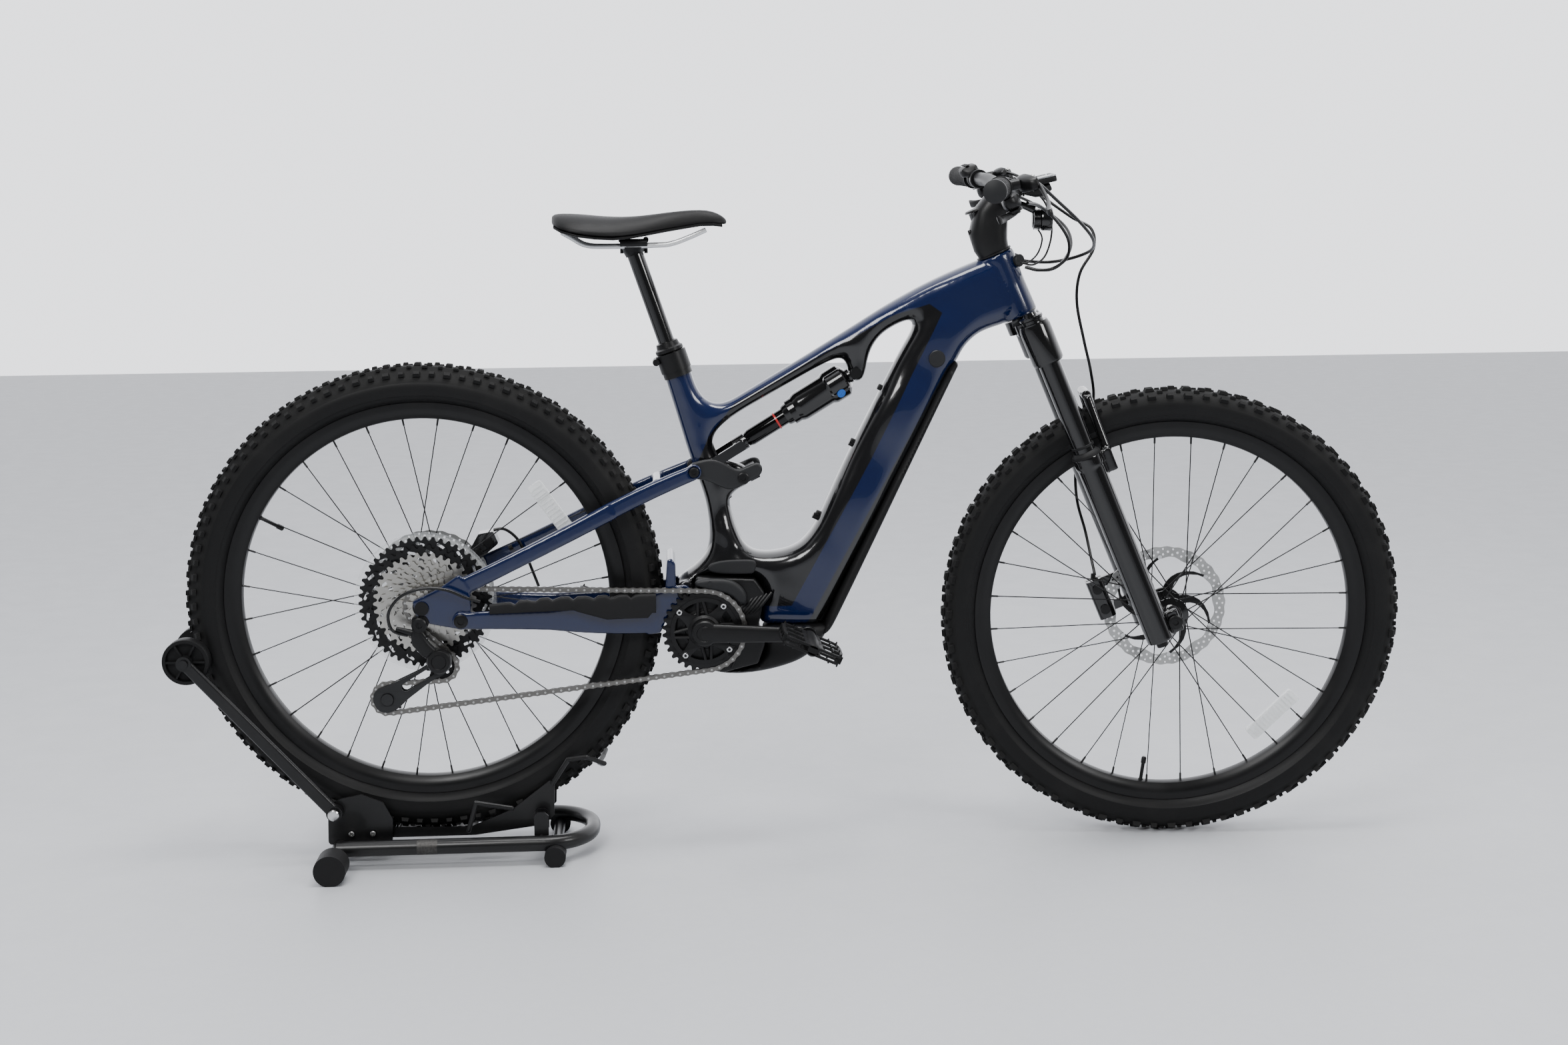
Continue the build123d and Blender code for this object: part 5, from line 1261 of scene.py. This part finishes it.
stem_rings = []
for x, z, w, h, lean in ((0, 655, 50, 50, 0), (0, 668, 54, 56, 0), (4, 690, 55, 62, 0.25),
                         (18, 712, 52, 56, 0.75), (36, 724, 50, 50, 1.05), (48, 730, 46, 42, 1.15)):
    back = (AHEAD * cos(lean) - UP * sin(lean))
    stem_rings.append(oval_ring(ahead(x, 0, z), LEFT, back, w, h, 32, 2.8))
clamp_ring = lathe([(15.9, -24), (22.5, -24), (23.5, -22), (23.5, 22), (22.5, 24), (15.9, 24)],
                   ahead(52, 0, 735), LEFT, 48)
top_cap = disc([(0, 0), (18.5, 0), (19.5, 1), (18, 3.5), (5, 4.5), (4.5, 3), (0, 3)], ahead(0, 0, 727), UP,
               40)
spacer = lathe([(14.3, 0), (27, 0), (28.5, 1), (28.5, 3), (14.3, 3)], ahead(0, 0, 652.3), UP, 48)
stem_bolts = [bolt_head(ahead(74, y, z), AHEAD, 4, 3) for y in (-17, 17) for z in (723, 747)]
stem_bolts += [bolt_head(ahead(-22, y, z), -AHEAD, 3.8, 4) for y, z in ((10, 675), (-10, 700))]
piece("stem_shell", [skin(stem_rings), clamp_ring, spacer], SATIN, "steering", ["stem"],
      angle=40)
piece("stem_fittings", stem_bolts + [top_cap], SATIN, "steering", angle=35)

face = place(ahead(105, 0, 732), LEFT, AHEAD * 0.984 - UP * 0.18)
case = rounded([(-43, -27), (43, -27), (43, 27), (-43, 27)], 8)
shell = sheet_metal([case], 8.5, shifted(face, z=0.5), 1.6)
rim_band = sheet_metal([case, rounded([(-40, -24), (40, -24), (40, 24), (-40, 24)], 6)], 2.2,
                       shifted(face, z=-4.8), 0.6)
glass = sheet_metal([rounded([(-39.5, -23.5), (39.5, -23.5), (39.5, 23.5), (-39.5, 23.5)], 6)], 1.2,
                    shifted(face, z=-4.6), 0.2)
cradle = skin([oval_ring(ahead(x, 0, z), LEFT, UP, w, h, 20, 3.5) for x, z, w, h in
               ((78, 726, 60, 12), (92, 720, 56, 20), (108, 716, 50, 20), (120, 717, 40, 12))])
arms = []
for y in (-33, 33):
    arms.append(lathe([(15.9, -5), (20, -5), (20.5, -4), (20.5, 4), (20, 5), (15.9, 5)], ahead(52, y, 735),
                      LEFT, 32))
    arms.append(tube([ahead(66, y, 740), ahead(78, y * 0.95, 733), ahead(92, y * 0.85, 726)], [6.5, 6, 5],
                     12))
piece("display_case", [shell, cradle] + arms, MATTE, "steering", ["display"], angle=30)
piece("display_trim", [rim_band], SILVER, "steering", angle=30)
piece("display_glass", [glass], SCREEN, "steering", angle=30)

lamp_way = (ahead(104, 0, 668) - ahead(75, 0, 680)).normalized()
lamp_profile = [(0, 0), (12, 0), (13.5, 1.5)]
for i in range(5):
    h = 2.5 + i * 2.2
    lamp_profile += [(16.8, h), (16.8, h + 0.9), (14.8, h + 1.2), (14.8, h + 2)]
lamp_profile += [(17.5, 14.5), (18.3, 17), (18.5, 29), (17.8, 31.4), (16.5, 31.4), (16, 29), (0, 28.5)]
lamp = disc(lamp_profile, ahead(75, 0, 680), lamp_way, 48)
arm = tube([ahead(62, 0, 712), ahead(72, 0, 704), ahead(84, 0, 692)], [6, 5.5, 6.5], 16)
piece("lamp_body", [lamp, arm], GLOSS, "steering", ["headlight"], angle=30)
lens = disc([(0, 0), (16.2, 0), (16.2, 0.8), (8, 2), (0, 2.4)], ahead(75, 0, 680) + lamp_way * 0.0288,
            lamp_way, 40)
piece("lamp_lens", [lens], REFLECTOR, "steering", angle=30)

LEVER_LINE = [(184, 43, -12), (176, 48, -14), (160, 53, -22), (138, 56, -33), (110, 58, -43), (80, 57, -51)]
LEVER_LINE += [(56, 55, -57), (47, 59, -59)]
PADDLE_LINE = [(150, 8, -41), (136, -2, -42), (122, -12, -42), (106, -17, -41)]


def blade(line, way, steps, size):
    """Lever swept along a line beside the bar; size gives the section at a share of its length."""
    pts = smooth_path([on_bar(d, way, x, z) for d, x, z in line], steps)
    rings = []
    for i, p in enumerate(pts):
        run = (pts[min(i + 1, len(pts) - 1)] - pts[max(i - 1, 0)]).normalized()
        out = (AHEAD - run * AHEAD.dot(run)).normalized()
        deep, tall = size(i / (len(pts) - 1), i in (0, len(pts) - 1))
        rings.append(oval_ring(p, out, run.cross(out).normalized(), deep, tall, 16, 3))
    return skin(rings)


for side, way in (("right", -1), ("left", 1)):
    lever = blade(LEVER_LINE, way, 5,
                  lambda t, tip: (5.5, (13 - 4 * t + (2 if t > 0.9 else 0)) * (0.6 if tip else 1)))
    pin_bit = tube([on_bar(176, way, 47, -24), on_bar(176, way, 47, -5)], 6.5, 20)
    piece(f"{side}_lever_blade", [lever, pin_bit], SATIN, f"{side}_brake",
          [f"brake_lever_{side}"],
          angle=40)

RESERVOIR = [(206, 34, -3, 9, 9), (202, 34, -4, 16, 17), (188, 32, -5, 20, 22), (176, 34, -8, 24, 25)]
RESERVOIR += [(166, 40, -11, 24, 22), (156, 47, -14, 15, 17), (153, 48, -15, 8, 10)]
THUMB_POD = [(165, 2, -18, 12, 10), (160, 4, -21, 22, 18), (150, 6, -24, 27, 24), (138, 8, -25, 26, 24)]
THUMB_POD += [(128, 6, -24, 18, 16), (125, 5, -23, 10, 8)]
REMOTE = [(168, -6, 14, 16, 8), (162, -7, 17, 28, 17), (148, -8, 18, 30, 19), (134, -7, 17, 26, 15),
          (130, -6, 14, 12, 6)]
pod_parts, pod_bolts = [], []
for way in (-1, 1):
    axis = (on_bar(100, way) - on_bar(0, way)).normalized()
    for d, wide, r in ((169, 7, 15.8), (146, 5.5, 15)):
        pod_parts.append(lathe([(11.2, -wide), (r * 0.96, -wide), (r, -wide * 0.8), (r, wide * 0.8),
                                (r * 0.96, wide), (11.2, wide)], on_bar(d, way), axis, 36))
    pod_parts.append(loft([(on_bar(d, way, x, z), w, h) for d, x, z, w, h in RESERVOIR], AHEAD, UP, 24, 3))
    pod_parts.append(tube([on_bar(169, way, 10, -2), on_bar(171, way, 26, -5)], [8, 8], 16))
    pod_parts.append(tube([on_bar(206, way, 34, -3), on_bar(214, way, 35, -2)], [4.5, 3.5], 12))
    pod_bolts.append(bolt_head(on_bar(169, way, -12, -11), -UP, 3.6, 3))
    pod_bolts.append(bolt_head(on_bar(176, way, 47, -4), UP, 4.4, 3))
    pod_bolts.append(bolt_head(on_bar(195, way, 45, -3), AHEAD, 3.2, 3))
    pod_parts.append(loft([(on_bar(d, way, x, z), w, h) for d, x, z, w, h in THUMB_POD], AHEAD, UP, 24, 3))
    pod_parts.append(disc([(0, 0), (12, 0), (13, 1), (12, 4), (0, 4.5)], on_bar(146, way, 6, -36.5), UP * -1,
                          28))
    pod_parts.append(tube([on_bar(168, way, 5, -20), on_bar(182, way, 8, -17)], [5.2, 4.2], 14))
pod_parts.append(loft([(on_bar(d, 1, x, z), w, h) for d, x, z, w, h in REMOTE], AHEAD, UP, 24, 3.4))
piece("control_bodies", pod_parts, SATIN, "steering", ["control_pods"], angle=38)
piece("control_bolts", pod_bolts, STEEL, "steering", angle=30)
keys = []
for k, d in enumerate((128, 139, 150, 161)):
    keys.append(disc([(0, 0), (4.2, 0), (4.5, 0.6), (4, 1.6), (0, 1.8)], on_bar(d, 1, -8, 26.5), UP, 16))
piece("remote_keys", keys, MOULD, "steering", angle=35)

for name, way, body, node_name in (("shift_paddle", -1, "shifter", "shift_lever"),
                                   ("dropper_paddle", 1, "dropper_trigger", "dropper_lever")):
    paddle = blade(PADDLE_LINE, way, 4, lambda t, tip: ((5 + 2 * t) * (0.5 if tip else 1), 8 + 6 * t))
    hub = disc([(0, 0), (8.8, 0), (9.2, 1), (8.5, 5.5), (0, 6)], on_bar(146, way, 6, -38), -UP, 28)
    piece(name, [paddle, hub], SATIN, body, [node_name], angle=40)


# ---------------------------------------------------------------- hoses and cables
def hose(name, points, radius, body, hides=()):
    line = smooth_path(points, 8)
    piece(name, [tube(line, radius, 12)], CABLE, body, hides, angle=60)


ROUTES = {
    "rear_brake_hose": [(78, -196, 752), (92, -158, 738), (112, -122, 700), (134, -84, 656), (148, -40, 618),
                        (144, 4, 598),
                        (118, 34, 594), (84, 44, 600), (56, 43, 612), (36, 38, 624)],
    "shifter_housing": [(62, -206, 722), (80, -166, 708), (98, -126, 676), (108, -90, 638), (100, -60, 610),
                        (76, -44, 600),
                        (52, -42, 606), (35, -36, 618)],
    "dropper_housing": [(62, 206, 722), (82, 166, 708), (108, 124, 676), (126, 82, 642), (122, 42, 616),
                        (100, 8, 600),
                        (76, -16, 596), (54, -24, 604), (38, -26, 616)],
}
for number, (name, route) in enumerate(ROUTES.items()):
    hose(name, [ahead(*p) for p in route], 2.5 if number else 2.6, "steering",
         hides=["control_cables"] if number == 0 else ())
hose("display_wire", [ahead(98, 20, 716), ahead(106, 24, 690), ahead(100, 24, 650), ahead(76, 16, 618),
                      ahead(52, 4, 612), ahead(36, -6, 622)],
     1.6, "steering")
hose("lamp_wire", [ahead(76, 4, 668), ahead(80, 10, 646), ahead(64, -8, 628), ahead(44, -26, 622),
                   ahead(32, -32, 626)], 1.4, "steering")
hose("front_hose", [ahead(*p) for p in ((78, 196, 752), (94, 158, 738), (116, 130, 694), (144, 110, 648),
                                        (165, 94, 620), (156, 82, 590),
     (120, 74, 562), (98, 72, 520), (86, 72, 458), (78, 72, 408), (66, 84, 360), (38, 96, 318), (2, 98, 270),
                                        (-20, 92, 214), (-28, 78, 160), (-36, 62, 120), (-42, 47, 91))],
     2.5, "steering", hides=["front_brake_hose"])
hose("rear_hose", [at(x, z, y) for x, z, y in ((104, 521, 55), (122, 522, 55), (142, 506, 54), (156, 478, 52),
                                               (166, 450, 54), (174, 426, 58))],
     2.5, "rear_stays", hides=["rear_cables"])
hose("gear_housing", [at(x, z, y) for x, z, y in ((92, 432, -88), (70, 440, -92), (40, 453, -93),
                                                  (4, 456, -93), (-30, 444, -92), (-50, 418, -90),
     (-46, 390, -88), (-22, 380, -86))], 2.5, "rear_stays")


# ---------------------------------------------------------------- saddle
SADDLE = [(216, 1024, 34, 8, 2), (220, 1028, 88, 18, 4), (232, 1029.5, 122, 27, 6), (256, 1029, 141, 33, 8),
          (284, 1026, 138, 34, 8),
          (312, 1023.5, 122, 33, 8), (340, 1023.5, 98, 30, 8), (368, 1026, 76, 28, 7),
          (396, 1029.5, 58, 27, 6), (422, 1032, 47, 25, 6),
          (448, 1033, 41, 22, 5), (468, 1030, 38, 18, 5), (482, 1023, 30, 12, 4), (489, 1016, 14, 5, 2)]
rings = []
for x, top, wide, deep, crown in SADDLE:
    ring = []
    count = 40
    for k in range(count):
        t = k / count
        if t < 0.62:
            u = (t / 0.62) * 2 - 1
            drop = deep * 0.78 * abs(u) ** 3.2 + crown * u * u * 0.6
            channel = 2.2 * max(0, 1 - (u / 0.22) ** 2) if 250 < x < 440 else 0
            ring.append(at(x, top - drop - channel, u * wide / 2 * (1 - 0.02 * abs(u) ** 8)))
        else:
            u = 1 - (t - 0.62) / 0.38 * 2
            ring.append(at(x, top - deep * 0.78 - crown * 0.6 - 2.5 + 3.5 * (1 - u * u), u * wide / 2 * 0.93))
    rings.append(ring)
cover = piece("saddle_pad", [skin(rings)], surface("saddle_skin", (0.0028, 0.0028, 0.003), 0.46, grain=2600,
                                                   bump=0.2, dust=0.006, specular=0.16),
              "saddle_post", ["saddle"], angle=70)
even = cover.modifiers.new("swell", "SUBSURF")
even.levels = even.render_levels = 1
base_rings = []
for x, top, wide, deep, crown in SADDLE[1:-1]:
    z = top - deep * 0.78 - crown * 0.6 - 3
    base_rings.append(oval_ring(at(x, z, 0), Y_AXIS, Z_AXIS, wide * 0.9, 6, 28, 4))
piece("saddle_base", [skin(base_rings)], MATTE, "saddle_post", angle=40)
rail_parts = []
for way in (-1, 1):
    route = [(232, 1000, 26), (246, 992, 25), (268, 980, 23), (300, 977.5, 22), (380, 978.5, 22),
             (404, 981, 21), (430, 990, 16), (456, 1001, 10)]
    rail_parts.append(tube(smooth_path([at(x, z, way * y) for x, z, y in route], 6), 3.8, 14))
piece("saddle_rail_pair", rail_parts, RAIL_STEEL, "saddle_post", ["saddle_rails"], angle=50)
stanchion = tube([at(397, 809) - POST_UP * 0.11, at(397, 809) + POST_UP * 0.166], 13, 40)
head_rings = [oval_ring(at(345, 964, 0), Y_AXIS, Vector((1, 0, 0.34)).normalized(), 30, 30, 24, 2.6),
              oval_ring(at(343, 971, 0), Y_AXIS, Vector((1, 0, 0.2)).normalized(), 48, 34, 24, 3.4),
              oval_ring(at(342, 976, 0), Y_AXIS, X_AXIS, 56, 36, 24, 4)]
top_clamps = [skin([oval_ring(at(x, 982.5, way * 22), Y_AXIS, Z_AXIS, 13, 11, 20, 3.4)
                    for x in (322, 324, 362, 364)])
              for way in (-1, 1)]
clamp_bolts = [tube([at(x, 966, 0), at(x, 990, 0)], 2.8, 12) for x in (324, 362)]
clamp_bolts += [tube([at(x, 987, -20), at(x, 987, 20)], 4.5, 16) for x in (324, 362)]
piece("post_stanchion", [stanchion], GLOSS, "saddle_post", ["dropper_upper"], angle=40)
piece("post_head", [skin(head_rings)] + top_clamps + clamp_bolts, SATIN, "saddle_post",
      angle=38)


# ---------------------------------------------------------------- stand
worn = tube([at(-22, 33, -80), at(10, 33, -80)], 12.62, 32, caps=False)
piece("worn_patch", [worn], surface("worn_steel", (0.06, 0.058, 0.056), 0.5, metal=0.9, grain=300, bump=0.3,
                                    tint=0.6), "stand", angle=60)
stand_bolts = [disc([(0, 0), (8.5, 0), (9, 0.6), (9, 3.6), (7.5, 4.8), (3, 5.2), (0, 5.2)],
                    at(-154, 86, way * 68),
                    Y_AXIS * way, 24) for way in (-1, 1)]
piece("arm_bolts", stand_bolts, BOLT, "stand_arm", angle=30)
plate_bolts = [bolt_head(at(x, 48, way * 50), Y_AXIS * way, 4.4, 3) for way in (-1, 1) for x in (-130, -96)]
piece("quadrant_bolts", plate_bolts, STEEL, "stand", angle=30)
roller_parts = []
for way in (-1, 1):
    centre = at(-375, 338, way * 45)
    hub_profile = [(4.1, -11), (36, -11), (36.5, -10), (36.5, 10), (36, 11), (31, 11), (30, 8), (30, 4),
                   (12, 4), (11, 10), (4.1, 11)]
    roller_parts.append(lathe([(r, h) for r, h in hub_profile], centre, Y_AXIS * way, 56))
    for i in range(6):
        a = PI2 * i / 6
        rib_at = place(centre + Y_AXIS * way * 0.007, Vector((cos(a), 0, sin(a))), Y_AXIS)
        roller_parts.append(box_at(shifted(rib_at, 20.5), (20, 7, 3)))
piece("stand_wheels", roller_parts, MATTE, "rollers", ["stand_rollers"], angle=30)


# ---------------------------------------------------------------- room, light and camera
floor_mesh = bpy.data.meshes.new("floor")
floor_mesh.from_pydata([(-14, -9, -0.0002), (14, -9, -0.0002), (14, 9, -0.0002), (-14, 9, -0.0002)], [],
                       [(0, 1, 2, 3)])
floor = bpy.data.objects.new("floor", floor_mesh)
scene.collection.objects.link(floor)
floor_mesh.materials.append(surface("pale_floor", (0.42, 0.43, 0.45), 0.5, grain=60, bump=0.05, tint=0.03))
world = bpy.data.worlds.new("room")
scene.world = world
world.use_nodes = True
sky = world.node_tree
view = sky.nodes.new("ShaderNodeTexCoord")
apart = sky.nodes.new("ShaderNodeSeparateXYZ")
sky.links.new(view.outputs["Generated"], apart.inputs[0])
glow = node(sky, "ShaderNodeMapRange")
glow.interpolation_type = "SMOOTHSTEP"
for key, value in (("From Min", -0.45), ("From Max", 0.35), ("To Min", 0.15), ("To Max", 2.3)):
    glow.inputs[key].default_value = value
sky.links.new(apart.outputs["Y"], glow.inputs["Value"])
sky.nodes["Background"].inputs["Color"].default_value = (0.95, 0.96, 1.0, 1)
sky.links.new(glow.outputs["Result"], sky.nodes["Background"].inputs["Strength"])


def area_light(name, where, target, wide, power, tall=None):
    data = bpy.data.lights.new(name, "AREA")
    data.shape = "RECTANGLE"
    data.size, data.size_y = wide, tall or wide
    data.energy = power
    lamp_obj = bpy.data.objects.new(name, data)
    lamp_obj.location = where
    lamp_obj.rotation_euler = (Vector(target) - Vector(where)).to_track_quat("-Z", "Y").to_euler()
    scene.collection.objects.link(lamp_obj)


area_light("key_light", (-1.4, -2.7, 2.9), (0, 0, 0.5), 1.3, 95)
area_light("fill_light", (2.6, -2.4, 2.2), (0.2, 0, 0.6), 1.1, 60)
area_light("top_light", (0.2, -0.4, 3.6), (0, 0, 0.4), 2.2, 110, 0.9)

yaw, pitch, roll = radians(3.378), radians(9.594), radians(-0.609)
forward = Vector((sin(yaw), cos(yaw), 0))
right = Vector((cos(yaw), -sin(yaw), 0))
look = forward * cos(pitch) - Z_AXIS * sin(pitch)
above = Z_AXIS * cos(pitch) + forward * sin(pitch)
side_axis = right * cos(roll) + above * sin(roll)
up_axis = above * cos(roll) - right * sin(roll)
camera_data = bpy.data.cameras.new("camera")
camera_data.lens = 45.45
camera_data.sensor_width = 36
camera = bpy.data.objects.new("camera", camera_data)
matrix = Matrix((side_axis, up_axis, -look)).transposed().to_4x4()
matrix.translation = Vector((-0.1932, -3.1404, 1.0646))
camera.matrix_world = matrix
scene.collection.objects.link(camera)
scene.camera = camera
